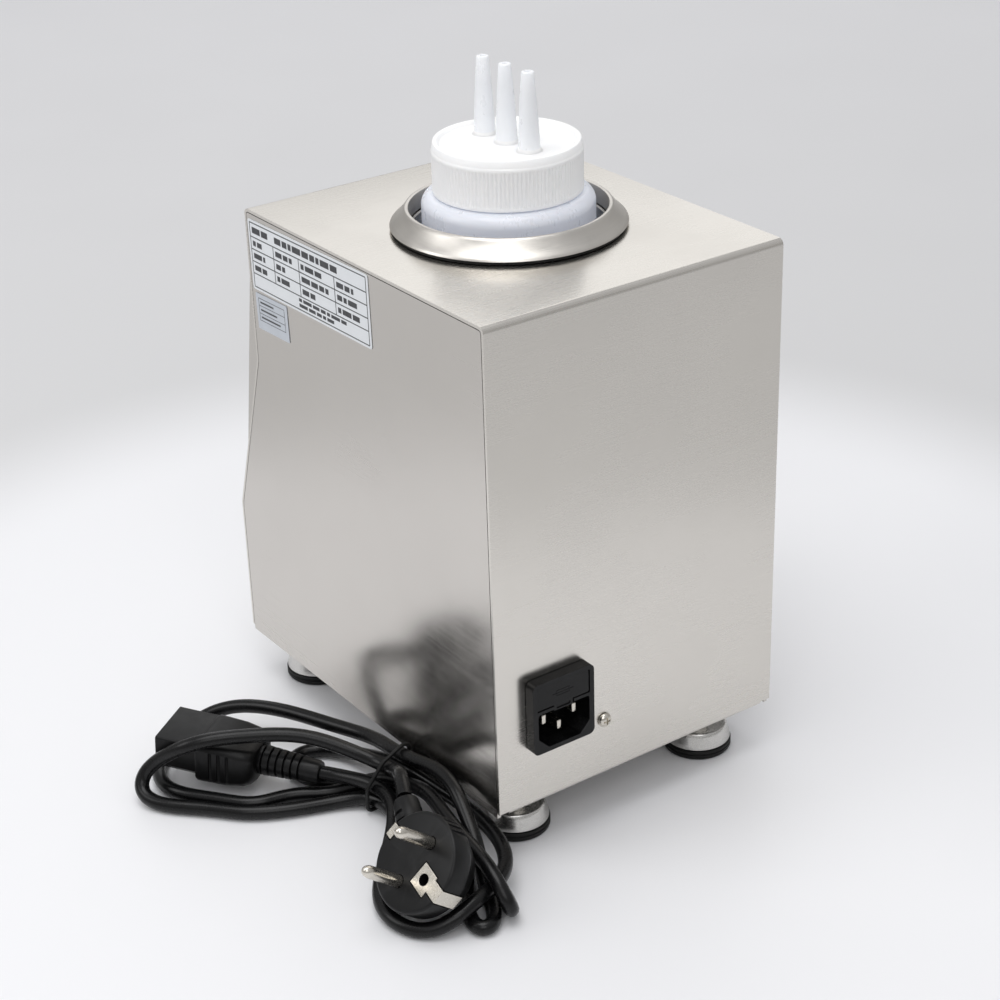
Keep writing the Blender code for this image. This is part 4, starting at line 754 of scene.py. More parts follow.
def tie_loop(route, radius, count=44):
    """The tie's centreline: a closed loop round the strands, in the plane where they cross the tie."""
    centre = np.mean([SLOTS[name] for name in sorted(SLOTS)], axis=0)
    normal = unit((0.2, -0.98, 0.2))
    across = unit(np.cross((0, 0, 1), normal))
    up = np.cross(normal, across)
    side = (route - centre) @ normal
    crossing = []
    for i in np.where(side[:-1] * side[1:] < 0)[0]:
        p = route[i] + (route[i + 1] - route[i]) * side[i] / (side[i] - side[i + 1])
        if np.linalg.norm(p - centre) < 25:
            crossing.append(((p - centre) @ across, (p - centre) @ up))
    crossing = np.array(crossing)
    loop = []
    for angle in np.linspace(0, 2 * math.pi, 240, endpoint=False):
        way = np.array([math.cos(angle), math.sin(angle)])
        reach = crossing @ way
        loop.append(crossing[reach.argmax()] + way * (CORD_D / 2 + radius + 0.85))
    loop = np.array(loop + loop[:1])
    run = np.concatenate([[0.0], np.cumsum(np.linalg.norm(np.diff(loop, axis=0), axis=1))])
    want = np.linspace(0, run[-1], count, endpoint=False)
    loop = np.stack([np.interp(want, run, loop[:, k]) for k in range(2)], axis=1)
    loop = centre + loop[:, :1] * across + loop[:, 1:] * up
    loop[:, 2] = np.maximum(loop[:, 2], 0.95)
    loop[:, 0] = np.maximum(loop[:, 0], CASE_W / 2 + 1.2)
    return loop



# ---------------------------------------------------------------- the mains lead
route = lead_route()
line = spaced(route, 1.0)
cord_data = bpy.data.curves.new("lead_cord_sheath", "CURVE")
cord_data.dimensions = "3D"
cord_data.bevel_depth = CORD_D / 2 * MM
cord_data.bevel_resolution = 5
cord_data.use_fill_caps = True
spline = cord_data.splines.new("POLY")
spline.points.add(len(line) - 1)
for point, p in zip(spline.points, line):
    point.co = (p[0] * MM, p[1] * MM, p[2] * MM, 1.0)
spline.use_smooth = True
sheath = linked(bpy.data.objects.new("lead_cord_sheath", cord_data))
cord_data.materials.append(MATS["cord"])
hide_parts("lead_cord")
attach(sheath, "machine")

# the tie: drawn as one closed loop round the bundle; the real one is a soft wire run twice round it, its ends twisted
# together
TIE_R = 0.8
tie_line = tie_loop(route, TIE_R, 120)
tie = tube("lead_tie_band", [tuple(p) for p in tie_line], TIE_R, 4, cyclic=True)
placed(tie, "rubber", ["lead_tie"], angle=60)

# connector: local Z runs from the mating face towards the cord
along, across, up = connector_axes()
C = frame_at(C13_FRONT, across, up)
REACH = float(np.linalg.norm(np.array(C13_END) - np.array(C13_FRONT))) - 0.5
nose = rounded([(-12, 8), (-12, -4.4), (-8.4, -8), (8.4, -8), (12, -4.4), (12, 8)], 0.9, 4, closed=True)
connector = flat("connector_shell", nose, 0.0, 19.0, C)
for px, py in ((-7.0, 2.0), (7.0, 2.0), (0.0, -2.4)):
    connector = cut(connector, block("slot", (2.4, 5.0, 28.0), (px, py, 0), C))
placed(connector, "black", ["c13_connector"], edge=0.35, segments=3)


def loft(name, sections, matrix=None):
    """A closed body through rounded rectangles: sections are (height, width, depth, corner radius) in mm along local Z."""
    bm = bmesh.new()
    rows = []
    for z, w, h, r in sections:
        rows.append([bm.verts.new((x * MM, y * MM, z * MM)) for x, y in rectangle(w, h, 0, 0, r, 6)])
    for a, b in zip(rows, rows[1:]):
        for i in range(len(a)):
            j = (i + 1) % len(a)
            bm.faces.new((a[i], a[j], b[j], b[i]))
    bm.faces.new(rows[0][::-1])
    bm.faces.new(rows[-1])
    bmesh.ops.recalc_face_normals(bm, faces=bm.faces)
    mesh = bpy.data.meshes.new(name)
    bm.to_mesh(mesh)
    bm.free()
    return linked(bpy.data.objects.new(name, mesh), matrix)


grip = loft(
    "connector_grip",
    [(16.9, 22.0, 14.6, 2.0), (17.3, 24.6, 16.8, 2.6), (18.2, 25.8, 17.8, 3.0), (20.0, 26.0, 18.0, 3.2), (30.0, 25.4, 17.6, 3.4), (37.0, 23.6, 16.6, 4.0), (39.6, 21.4, 15.4, 4.6), (40.8, 18.4, 13.6, 4.8), (41.0, 15.0, 12.0, 4.8)],
    C,
)
for side in (-1, 1):
    for k in range(4):
        grip = cut(grip, block("groove", (1.8, 13.0, 1.5), (side * 13.1, 0, 24.0 + 3.6 * k), C, 0.5, 2))
placed(grip, "black", edge=0.25)
STEP = 3.1


def relief_profile(low, high, r0, r1, pitch=STEP, gap=1.0, core=1.3):
    """A tapered strain relief cut into rings."""
    pts = [(0.0, low), (r0 - 0.5, low), (r0, low + 0.5)]
    z = low + 2.2
    while z + gap + 1.2 < high - 4:
        r = r0 + (r1 - r0) * (z - low) / (high - low)
        pts += [(r, z), (r - core * 0.35, z + 0.16), (r - core, z + 0.22), (r - core, z + gap - 0.22), (r - core * 0.35, z + gap - 0.16), (r, z + gap)]
        z += pitch
    return pts + [(r1 + 0.1, high - 1.2), (r1 - 0.4, high), (0.0, high)]


placed(lathe("connector_relief", relief_profile(40.0, REACH, 6.2, 4.7), C, 40), "black", angle=50)

# plug: local Z points out of the pin face
K = frame_at(PLUG_FACE, PLUG_U1, PLUG_U2)
plug = lathe(
    "plug_shell",
    [(0.0, 0.0), (17.6, 0.0), (18.3, -0.12), (18.75, -0.45), (19.0, -1.0), (19.0, -8.4), (18.85, -9.1), (18.5, -9.8), (15.9, -14.2), (14.0, -17.4), (13.2, -18.5), (12.4, -19.0), (0.0, -19.0)],
    K, 96,
)
EARTH_U, EARTH_V = 0.8, 8.6
for x in (-9.5, 9.5):
    plug = cut(plug, rod("hole", 2.62, -6.5, 2.0, K @ moved(x, 0, 0), 32))
plug = cut(
    plug,
    rod("hole", 2.6, -13.0, 2.0, K @ moved(EARTH_U, EARTH_V, 0), 32),
    block("groove", (6.6, 5.0, 24.0), (0, 20.4, -6.0), K),
    block("groove", (6.6, 5.0, 24.0), (0, -20.4, -6.0), K),
    block("seat", (10.2, 9.4, 2.2), (EARTH_U, EARTH_V, 0), K),
    block("seat", (6.6, 9.0, 2.2), (0, 15.0, 0), K),
    block("seat", (6.6, 4.4, 2.2), (0, -17.4, 0), K),
)
for side in (-1, 1):  # guide grooves on the two flanks
    for k in (-1, 0, 1):
        plug = cut(plug, block("rib", (1.6, 1.5, 9.0), (side * 18.9, 3.0 * k, -5.4), K, 0.4, 2))
placed(plug, "plug", ["plug_body"], edge=0.22)
start = np.array(PLUG_FACE) - unit(PLUG_NORMAL) * 10 - unit(PLUG_U2) * 12
reach = np.array(PLUG_RELIEF_END) - start
u = unit(np.cross(reach, (1, 0, 0)))
E = frame_at(start, u, np.cross(unit(reach), u))
size = float(np.linalg.norm(reach)) - 1.5
relief = lathe("plug_relief", [(0.0, -4.0), (6.8, -4.0), (6.75, 2.0), (6.3, 7.5), (5.9, 9.0), (5.5, size * 0.6), (4.9, size - 1.0), (4.4, size), (0.0, size)], E, 48)
for k in range(3):  # three slots in each face of the relief
    for half in (-1, 1):
        relief = cut(relief, block("slot", (11.0, 4.0, 1.3), (0, half * 5.6, size * 0.5 + 3.6 * k - 3.4), E))
placed(relief, "plug", edge=0.18)
for i, x in enumerate((-9.5, 9.5)):
    pin = lathe(
        "plug_pin_turned_%d" % (i + 1),
        [(0.0, 19.0), (0.8, 18.95), (1.35, 18.6), (1.8, 18.0), (2.15, 17.2), (2.35, 16.2), (2.4, 15.3), (2.4, 0.6), (2.4, -5.9), (0.0, -5.9)], K @ moved(x, 0, 0), 48,
    )
    placed(pin, "nickel", ["plug_pin_%d" % (i + 1)], angle=50)
contact = block("plug_contact_plate", (9.4, 8.6, 0.8), (EARTH_U, EARTH_V, -0.3), K)
contact = cut(contact, rod("hole", 2.3, -2, 2, K @ moved(EARTH_U, EARTH_V, 0), 32))
contact = join(contact, block("strip", (5.6, 7.6, 0.8), (0, 15.0, -0.3), K), block("side", (5.6, 0.8, 11.0), (0, 18.4, -5.4), K))
placed(contact, "nickel", ["plug_earth_contact_1"], edge=0.12)
contact = block("plug_contact_clip", (5.6, 3.2, 0.8), (0, -17.2, -0.3), K)
contact = join(contact, block("side", (5.6, 0.8, 11.0), (0, -18.4, -5.4), K))
placed(contact, "nickel", ["plug_earth_contact_2"], edge=0.12)

# ---------------------------------------------------------------- casing
path = [
    (REAR_Y - HEM, BASE_Z), (REAR_Y, BASE_Z), (REAR_Y, TOP_Z), (FRONT_TOP_Y, TOP_Z),
    (FRONT_TOP_Y, SLOPE_TOP_Z), (FRONT_LOW_Y, SLOPE_LOW_Z), (FRONT_LOW_Y, BASE_Z), (FRONT_LOW_Y + HEM, BASE_Z),
]
outer = rounded(path, [0, BEND, BEND, BEND, BEND, BEND, BEND, 0], steps=10)


def strip(name, line, x0, x1, thickness):
    """A folded strip: the (y, z) line swept from x0 to x1, outer face on the line, sheet inside it."""
    bm = bmesh.new()
    left = [bm.verts.new((x0 * MM, y * MM, z * MM)) for y, z in line]
    right = [bm.verts.new((x1 * MM, y * MM, z * MM)) for y, z in line]
    for i in range(len(line) - 1):
        bm.faces.new((left[i], right[i], right[i + 1], left[i + 1]))
    bm.normal_update()
    middle = bm.faces[:][len(line) // 4]
    if middle.normal.y < 0 and middle.calc_center_median().y > 0:
        bmesh.ops.reverse_faces(bm, faces=bm.faces)
    mesh = bpy.data.meshes.new(name)
    bm.to_mesh(mesh)
    bm.free()
    obj = linked(bpy.data.objects.new(name, mesh))
    solid = obj.modifiers.new("sheet", "SOLIDIFY")
    solid.thickness = thickness * MM
    solid.offset = -1.0
    solid.use_even_offset = True
    return baked(obj)


wrap = strip("casing_sheet", outer, -CASE_W / 2, CASE_W / 2, SHEET)
wrap = cut(
    wrap,
    rod("hole", WELL_R + WELL_WALL + 0.6, TOP_Z - 6, TOP_Z + 6, WELL, 96),
    block("hole", (25.9, 27.7, 12), (0, 0, 0), on_rear(INLET_X, INLET_Z)),
    rod("hole", 2.2, -6, 6, on_rear(EARTH_X, EARTH_Z), 24),
    rod("hole", 5.3, -6, 6, on_panel(KNOB_X), 32),
    rod("hole", 4.4, -6, 6, on_panel(LAMP_X), 32),
    block("hole", (13.6, 19.8, 12), (0, 0, 0), on_panel(SWITCH_X)),
)
SCREWS = [(sx * 26.0, y) for sx in (-1, 1) for y in (REAR_Y - 8.0, FRONT_LOW_Y + 8.0)]
for x, y in SCREWS:
    wrap = cut(wrap, rod("hole", 2.0, BASE_Z - 2, BASE_Z + 4, upright(x, y), 24))
for side in (-1, 1):
    for y in (REAR_Y, FRONT_LOW_Y):
        wrap = cut(wrap, block("notch", (10.0, 2 * HEM + 4, 4.0), (side * (CASE_W / 2 - 4.5 + 5.0), y, BASE_Z)))
# The wrap takes the lighter, painted-light copy of the casing steel.
placed(wrap, "steel_x_lit", ["casing_wrap"], angle=28, edge=0.18)

inset = SHEET + GAP
pan_path = [
    (REAR_Y - inset, BASE_Z), (REAR_Y - inset, TOP_Z - inset), (FRONT_TOP_Y + inset, TOP_Z - inset),
    (FRONT_TOP_Y + inset, SLOPE_TOP_Z), (FRONT_LOW_Y + inset, SLOPE_LOW_Z), (FRONT_LOW_Y + inset, BASE_Z),
]
lean = math.atan2(FRONT_TOP_Y - FRONT_LOW_Y, SLOPE_TOP_Z - SLOPE_LOW_Z)
shift = inset * math.tan(lean / 2)
pan_path[3] = (FRONT_TOP_Y + inset, SLOPE_TOP_Z - shift)
pan_path[4] = (FRONT_LOW_Y + inset, SLOPE_LOW_Z - shift)
pan_outer = rounded(pan_path, [0, BEND - inset, BEND - inset, BEND + inset, BEND - inset, 0], steps=8)
for side, name, node in ((1, "side_sheet_right", "side_panel_right"), (-1, "side_sheet_left", "side_panel_left")):
    bm = bmesh.new()
    x = side * CASE_W / 2
    rim = [bm.verts.new((x * MM, y * MM, z * MM)) for y, z in pan_outer]
    inner = [bm.verts.new(((x - side * PAN_FLANGE) * MM, y * MM, z * MM)) for y, z in pan_outer]
    bm.faces.new(rim)
    for i in range(len(rim) - 1):
        bm.faces.new((rim[i], rim[i + 1], inner[i + 1], inner[i]))
    bmesh.ops.recalc_face_normals(bm, faces=bm.faces)
    bm.normal_update()
    bm.faces.ensure_lookup_table()
    if bm.faces[0].normal.x * side < 0:
        bmesh.ops.reverse_faces(bm, faces=bm.faces)
    mesh = bpy.data.meshes.new(name)
    bm.to_mesh(mesh)
    bm.free()
    pan = linked(bpy.data.objects.new(name, mesh))
    solid = pan.modifiers.new("sheet", "SOLIDIFY")
    solid.thickness = SHEET * MM
    solid.offset = -1.0
    solid.use_even_offset = True
    pan = cut(baked(pan), block("relief", (11.0, 200.0, 4.4), (side * (CASE_W / 2 - SHEET - 0.4 - 5.5), 0, BASE_Z)))
    # The side panels take the darker, painted-shade copy of the casing steel.
    placed(pan, "steel_y_shaded", [node], angle=28, edge=0.4, segments=3)

# ---------------------------------------------------------------- feet
FEET = {"rear_right": (FOOT_X, FOOT_Y), "rear_left": (-FOOT_X, FOOT_Y), "front_right": (FOOT_X, -FOOT_Y), "front_left": (-FOOT_X, -FOOT_Y)}
for name, (x, y) in FEET.items():
    m = upright(x, y)
    pad = lathe("pad_turned_" + name, [(0.0, 0.0), (12.6, 0.0), (13.2, 0.2), (13.6, 0.6), (PAD_R, 1.1), (PAD_R, 2.2), (13.5, 2.35), (13.5, 2.65), (PAD_R, 2.8), (PAD_R, 3.7), (13.5, 4.0), (0.0, 4.0)], m, 72)
    placed(pad, "rubber", ["foot_pad_" + name])
    cup = lathe(
        "cup_turned_" + name,
        [(0.0, 4.3), (13.1, 4.3), (13.4, 4.6), (13.35, 5.4), (13.0, 6.6), (12.3, 9.4), (11.95, 10.6), (11.6, 11.05), (11.0, 11.2), (10.4, 11.1), (5.2, 9.95), (4.6, 10.1), (4.4, 10.6), (4.4, BASE_Z + 0.9), (3.0, BASE_Z + 0.9),
         (3.0, BASE_Z + 9.0), (0.0, BASE_Z + 9.0)],
        m, 72,
    )
    placed(cup, "steel_cup", ["foot_cup_" + name])

# ---------------------------------------------------------------- well and collar
well = lathe(
    "well_spun",
    [(0.0, WELL_FLOOR_Z), (31.0, WELL_FLOOR_Z), (33.0, WELL_FLOOR_Z + 0.5), (34.6, WELL_FLOOR_Z + 1.6), (35.7, WELL_FLOOR_Z + 3.4), (36.3, WELL_FLOOR_Z + 5.4), (WELL_R, WELL_FLOOR_Z + 8.5),
     (WELL_R, TOP_Z + 0.6), (WELL_R + 0.5, TOP_Z + 1.1), (41.0, TOP_Z + 1.1), (41.0, TOP_Z + GAP), (WELL_R + 1.0, TOP_Z + GAP),
     (WELL_R + WELL_WALL, TOP_Z - 0.2), (WELL_R + WELL_WALL, WELL_FLOOR_Z + 8.3), (36.8, WELL_FLOOR_Z + 4.2), (34.9, WELL_FLOOR_Z + 0.6),
     (31.2, WELL_FLOOR_Z - 1.0), (0.0, WELL_FLOOR_Z - 1.0)],
    WELL, 128,
)
placed(well, "steel_cup", ["heating_well"])
placed(lathe("gasket_turned", [(41.5, TOP_Z + GAP), (44.0, TOP_Z + GAP), (44.15, TOP_Z + 0.8), (44.0, TOP_Z + 1.3), (41.5, TOP_Z + 1.3)], WELL, 128), "rubber", ["collar_gasket"])
c0 = TOP_Z + 1.6
collar = lathe(
    "collar_spun",
    [(37.9, TOP_Z + COLLAR_H - 0.05), (LIP_R, TOP_Z + COLLAR_H), (38.6, TOP_Z + COLLAR_H - 0.03), (LIP_R + 0.9, TOP_Z + COLLAR_H - 0.3), (39.6, TOP_Z + 7.3), (40.7, TOP_Z + 6.0), (41.9, TOP_Z + 4.6), (43.2, TOP_Z + 3.35), (44.1, TOP_Z + 2.6),
     (44.6, TOP_Z + 2.05), (COLLAR_R, c0), (43.7, c0), (42.9, c0 + 0.9), (40.9, TOP_Z + 3.7), (38.7, TOP_Z + 5.9), (38.4, c0), (37.5, c0), (37.5, TOP_Z + 7.9), (37.6, TOP_Z + 8.2)],
    WELL, 160,
)
placed(collar, "spun", ["collar_ring"], angle=40)

# ---------------------------------------------------------------- bottle and its ribbed cap
bw = BOTTLE_WALL
shoulder = arc((28.0, SHOULDER_Z - 4.6), 4.6, 0, 82, 12)
inner_shoulder = arc((28.0, SHOULDER_Z - 5.0), 3.5, 80, 0, 8)
bottle = lathe(
    "bottle_blown",
    [(0.0, BOTTLE_Z + 2.0), (18, BOTTLE_Z + 1.4), (24, BOTTLE_Z + 0.5), (27.5, BOTTLE_Z), (30.0, BOTTLE_Z + 0.7), (31.6, BOTTLE_Z + 2.2), (32.4, BOTTLE_Z + 4.2), (BOTTLE_R, BOTTLE_Z + 6.5)]
    + shoulder
    + [(NECK_R + 0.4, SHOULDER_Z + 0.05), (NECK_R, SHOULDER_Z + 0.4), (NECK_R, NECK_TOP_Z - 0.4), (NECK_R - 0.4, NECK_TOP_Z), (NECK_R - 1.2, NECK_TOP_Z), (NECK_R - 1.6, NECK_TOP_Z - 0.4), (NECK_R - 1.6, SHOULDER_Z - 1.2)]
    + inner_shoulder
    + [(BOTTLE_R - bw, BOTTLE_Z + 6.5), (31.2, BOTTLE_Z + 4.2), (30.2, BOTTLE_Z + 2.6), (27.4, BOTTLE_Z + 1.2), (24, BOTTLE_Z + 1.7), (0.0, BOTTLE_Z + 3.1)],
    WELL, 144,
)
# The bottle glows faintly through its Emission: painted light.
placed(bottle, "bottle", ["bottle_body"], body="bottle", angle=50)

RIBS = 116
RIB_LOW, RIB_HIGH = CAP_LOW_Z + 1.3, CAP_STEP_Z - 1.4


def ribbed(r, z, angle):
    if r < CAP_R - 0.05 or z < RIB_LOW or z > RIB_HIGH:
        return r
    fade = min(1.0, (z - RIB_LOW) / 0.5, (RIB_HIGH - z) / 0.5)
    wave = abs(math.sin(angle * RIBS / 2))
    return r - 0.42 * max(0.0, fade) * (1 - wave) ** 0.8


cap = lathe(
    "cap_moulded",
    [(0.0, CAP_PLATE_Z), (24.6, CAP_PLATE_Z), (25.0, CAP_PLATE_Z + 0.08), (25.3, CAP_PLATE_Z + 0.4), (25.8, CAP_TOP_Z - 0.25), (26.1, CAP_TOP_Z), (27.0, CAP_TOP_Z), (27.4, CAP_TOP_Z - 0.15), (27.6, CAP_TOP_Z - 0.6),
     (27.7, CAP_STEP_Z + 0.1), (27.8, CAP_STEP_Z - 0.05), (28.05, CAP_STEP_Z - 0.25), (CAP_R, CAP_STEP_Z - 0.6), (CAP_R, RIB_HIGH), (CAP_R, RIB_HIGH - 0.3), (CAP_R, RIB_HIGH - 0.6), (CAP_R, RIB_LOW + 0.6),
     (CAP_R, RIB_LOW + 0.3), (CAP_R, RIB_LOW), (CAP_R, CAP_LOW_Z + 0.3), (27.9, CAP_LOW_Z), (NECK_R + 0.8, CAP_LOW_Z), (NECK_R + 0.6, CAP_LOW_Z + 0.3),
     (NECK_R + 0.6, CAP_PLATE_Z - 1.9), (NECK_R + 0.1, CAP_PLATE_Z - 1.4), (0.0, CAP_PLATE_Z - 1.4)],
    WELL, RIBS * 6, ribbed,
)
nozzles = []
z0 = CAP_PLATE_Z
for k in (-1, 0, 1):
    m = WELL @ moved(0, NOZZLE_PITCH * k, 0)
    nozzles.append(
        lathe(
            "nozzle",
            [(3.0, z0 - 0.6), (5.0, z0 - 0.6), (4.9, z0 + 0.02), (4.5, z0 + 0.2), (4.25, z0 + 0.55), (4.1, z0 + 1.2), (3.6, z0 + 10.5), (3.05, NOZZLE_TIP_Z - 9), (2.98, NOZZLE_TIP_Z - 8.6),
             (2.4, NOZZLE_TIP_Z - 0.5), (2.25, NOZZLE_TIP_Z - 0.15), (2.05, NOZZLE_TIP_Z), (1.45, NOZZLE_TIP_Z), (1.3, NOZZLE_TIP_Z - 0.2), (1.35, NOZZLE_TIP_Z - 3), (2.0, NOZZLE_TIP_Z - 9)],
            m, 48,
        )
    )
cap = merged("cap_with_nozzles", [cap] + nozzles)
# The cap and its nozzles glow faintly through their Emission: painted light.
placed(cap, "cap", ["bottle_cap"], body="cap", angle=42)
cap.data.materials.append(MATS["nozzle"])
for face in cap.data.polygons:
    if face.center.z > (CAP_TOP_Z + 1.0) * MM:
        face.material_index = 1

# ---------------------------------------------------------------- knob, dial, rocker and lamp on the sloped panel
P = on_panel(KNOB_X)
FLUTES = 18


def fluted(r, z, angle):
    if r < 9.0 or z < 6.4 or r > 12.0:
        return r
    fade = min(1.0, (z - 6.4) / 1.5)
    turn_from_pointer = abs((angle - math.pi / 2 + math.pi) % (2 * math.pi) - math.pi)
    if turn_from_pointer < 0.2:
        return r
    return r - 0.55 * max(0.0, fade) * max(0.0, math.cos(angle * FLUTES)) ** 2


knob = lathe(
    "knob_moulded",
    [(0.0, KNOB_H - 0.5), (7.6, KNOB_H - 0.5), (8.2, KNOB_H - 0.4), (8.6, KNOB_H - 0.05), (9.8, KNOB_H), (10.6, KNOB_H - 0.3), (11.0, KNOB_H - 1.0), (11.15, 13.0), (11.3, 10.0), (11.5, 7.6), (11.6, 6.2), (12.2, 5.3), (13.8, 4.8), (15.2, 4.4), (15.8, 4.0), (16.0, 3.5),
     (16.0, 1.7), (15.8, 1.4), (15.0, 1.3), (10.6, 1.3), (10.6, 4.6), (3.3, 5.4), (3.3, 12.2), (0.0, 12.2)],
    P, 216, fluted,
)
placed(knob, "black", ["control_knob"], body="knob", angle=40)
pointer = merged(
    "knob_pointer",
    [
        block("line", (1.3, 4.2, 0.5), (0, 13.2, 4.92), P @ Matrix.Translation((0, 0, 0)), 0.15, 2),
        block("line", (1.3, 4.4, 0.4), (0, 5.6, KNOB_H - 0.42), P, 0.12, 2),
    ],
)
placed(pointer, "mark", body="knob")
dial = flat("dial_disc", ring(24.0, 128), 0.15, 0.75, P, [ring(5.3, 32)])
# The dial plate also takes the lighter, painted-light copy of the casing steel.
placed(dial, "steel_x_lit", ["dial_plate"], edge=0.12)


def numeral(name, text, size, matrix, thick=0.04):
    curve = bpy.data.curves.new(name, "FONT")
    curve.body = text
    curve.size = size * MM
    curve.align_x = curve.align_y = "CENTER"
    curve.extrude = thick / 2 * MM
    return baked(linked(bpy.data.objects.new(name, curve), matrix))


ticks = []
for k in range(28):
    a = math.radians(90 + 135 - 10 * k)  # the dial's scale runs clockwise over 270 degrees
    long = k % 3 == 0
    spot = P @ Matrix.Rotation(a, 4, "Z") @ moved(18.3 if long else 18.0, 0, 0.77)
    ticks.append(block("tick", (1.9 if long else 1.1, 0.34 if long else 0.2, 0.06), (0, 0, 0), spot))
for k in range(10):
    a = math.radians(90 + 135 - 30 * k)
    ticks.append(numeral("digit", str(k), 2.9, P @ moved(21.5 * math.cos(a), 21.5 * math.sin(a), 0.77)))
placed(merged("dial_scale", ticks), "ink", angle=30)

P = on_panel(SWITCH_X)
housing = flat("rocker_frame", rectangle(15.4, 21.4, 0, 0, 1.6, 6), 0.2, 2.2, P, [rectangle(10.4, 16.6, 0, 0, 0.5, 3)])
housing = join(housing, merged("shell", [flat("shell", rectangle(13.0, 19.2), -14.2, 0.6, P, [rectangle(10.4, 16.6)]), block("floor", (13.0, 19.2, 5.7), (0, 0, -11.4), P)]))
placed(housing, "gloss", ["rocker_switch_housing"], edge=0.3, segments=3)
ROCKER_TILT = math.radians(10)
PIVOT = P @ moved(0, 0, -1.5)
rocker_outline = [
    (-7.0, 6.0), (-5.2, 5.35), (-3.4, 4.9), (-1.7, 4.6), (0, 4.5), (1.7, 4.6), (3.4, 4.9), (5.2, 5.35), (7.0, 6.0), (7.05, 3.5), (6.8, 1.0), (6.3, -0.8), (5.6, -2.2), (4.4, -3.4), (3.0, -4.2), (1.5, -4.7), (0, -4.8),
    (-1.5, -4.7), (-3.0, -4.2), (-4.4, -3.4), (-5.6, -2.2), (-6.3, -0.8), (-6.8, 1.0), (-7.05, 3.5),
]
side_on = Matrix(((0, 0, 1, 0), (1, 0, 0, 0), (0, 1, 0, 0), (0, 0, 0, 1)))
paddle = flat("rocker_paddle", rocker_outline, -4.9, 4.9)
TILTED = Matrix.Rotation(ROCKER_TILT, 4, "X")
paddle.data.transform(TILTED @ side_on)
paddle.matrix_basis = PIVOT
placed(paddle, "red_solid", ["rocker_switch_paddle"], body="rocker", angle=30, edge=0.35, segments=3)
mark = merged(
    "rocker_marks",
    [
        block("on", (0.7, 2.6, 0.2), (0, 4.1, 5.16), PIVOT @ TILTED @ Matrix.Rotation(math.radians(15), 4, "X") @ moved(0, 1.0, -1.05), 0.06, 1),
        flat("off", ring(1.5, 40), 4.93, 5.13, PIVOT @ TILTED @ Matrix.Rotation(math.radians(-15), 4, "X") @ moved(0, -4.3, -0.02), [ring(0.95, 40)]),
    ],
)
placed(mark, "mark", body="rocker")

P = on_panel(LAMP_X)
lamp = lathe(
    "lamp_lens",
    [(0.0, 4.0), (0.9, 3.95), (1.8, 3.7), (2.6, 3.25), (3.2, 2.6), (3.6, 1.9), (3.72, 1.3), (3.72, 0.4), (0.0, 0.4)], P, 64,
    lambda r, z, a: r - (0.09 * (0.5 + 0.5 * math.cos(a * 24)) if r > 3.0 and z > 1.0 else 0.0),
)
placed(lamp, "red", ["indicator_lamp"])
placed(lathe("lamp_bezel", [(3.85, 0.35), (3.85, 1.5), (4.1, 1.75), (5.0, 1.7), (5.5, 1.4), (5.8, 0.9), (5.8, 0.3), (4.1, 0.3), (4.1, -13.8), (3.4, -14.8), (3.3, 0.3)], P, 72), "gloss")

# ---------------------------------------------------------------- mains inlet
R = on_rear(INLET_X, INLET_Z)
FACE = INLET_PROUD
inlet = flat("inlet_moulding", rectangle(28.2, 30.2, 0, 0, 2.4, 8), GAP, FACE, R)
inlet = join(inlet, block("body", (25.3, 27.1, 24.0), (0, 0, -10.5), R, 1.0, 2, "z"))
sock_w, sock_h, sock_y = 23.6, 15.2, -5.55
w, h, ch = sock_w / 2, sock_h / 2, 4.6
socket = rounded(
    [(-w + ch, sock_y - h), (w - ch, sock_y - h), (w, sock_y - h + ch), (w, sock_y + h), (-w, sock_y + h), (-w, sock_y - h + ch)],
    [1.0, 1.0, 1.0, 1.2, 1.2, 1.0], 4, closed=True,
)
inlet = cut(inlet, flat("socket", socket, -10.5, FACE + 1, R))
DRAW_Y, DRAW_W, DRAW_H = 8.2, 24.2, 9.8
TAB_LOW, TAB_W = 0.9, 9.2
inlet = cut(
    inlet,
    block("recess", (DRAW_W, DRAW_H, 4.0), (0, DRAW_Y, FACE - 1.0), R),
    block("tab_recess", (TAB_W, DRAW_Y - TAB_LOW, 4.0), (0, (DRAW_Y + TAB_LOW) / 2, FACE - 1.0), R),
    block("pocket", (22.4, 8.8, 20.4), (0, DRAW_Y, FACE - 12.0), R),
)
pins = {"inlet_pin_live": (-7.0, -3.0), "inlet_pin_neutral": (7.0, -3.0), "inlet_pin_earth": (0.0, -7.8)}
for name, (px, py) in pins.items():
    inlet = cut(inlet, block("slot", (2.3, 4.3, 30), (px, py, -20), R))
placed(inlet, "gloss", ["inlet_housing"], edge=0.35, segments=3)
for name, (px, py) in pins.items():
    blade = block(name + "_blade", (2.0, 4.0, 28.0), (px, py, FACE - 3.2 - 14.0), R, 0.45, 3)
    placed(blade, "nickel", [name])
drawer = flat("drawer_front", rectangle(DRAW_W - 0.6, DRAW_H - 0.6, 0, DRAW_Y, 0.5, 3), FACE - 2.7, FACE - 0.4, R)
drawer = join(drawer, block("tab", (TAB_W - 0.6, DRAW_Y - TAB_LOW - 0.3, 2.3), (0, (DRAW_Y + TAB_LOW + 0.3) / 2, FACE - 1.55), R))
drawer = join(drawer, block("tray", (21.8, 8.0, 17.0), (0, DRAW_Y, FACE - 2.2 - 8.5), R))
drawer = cut(
    drawer,
    block("trough", (20.8, 9.0, 6.2), (0, DRAW_Y + 1.0, FACE - 14.6), R),
    block("spare", (20.8, 9.0, 5.4), (0, DRAW_Y + 1.0, FACE - 7.2), R),
    block("nail", (6.4, 1.3, 1.2), (0, TAB_LOW + 1.5, FACE - 0.4), R, 0.3, 2),
)
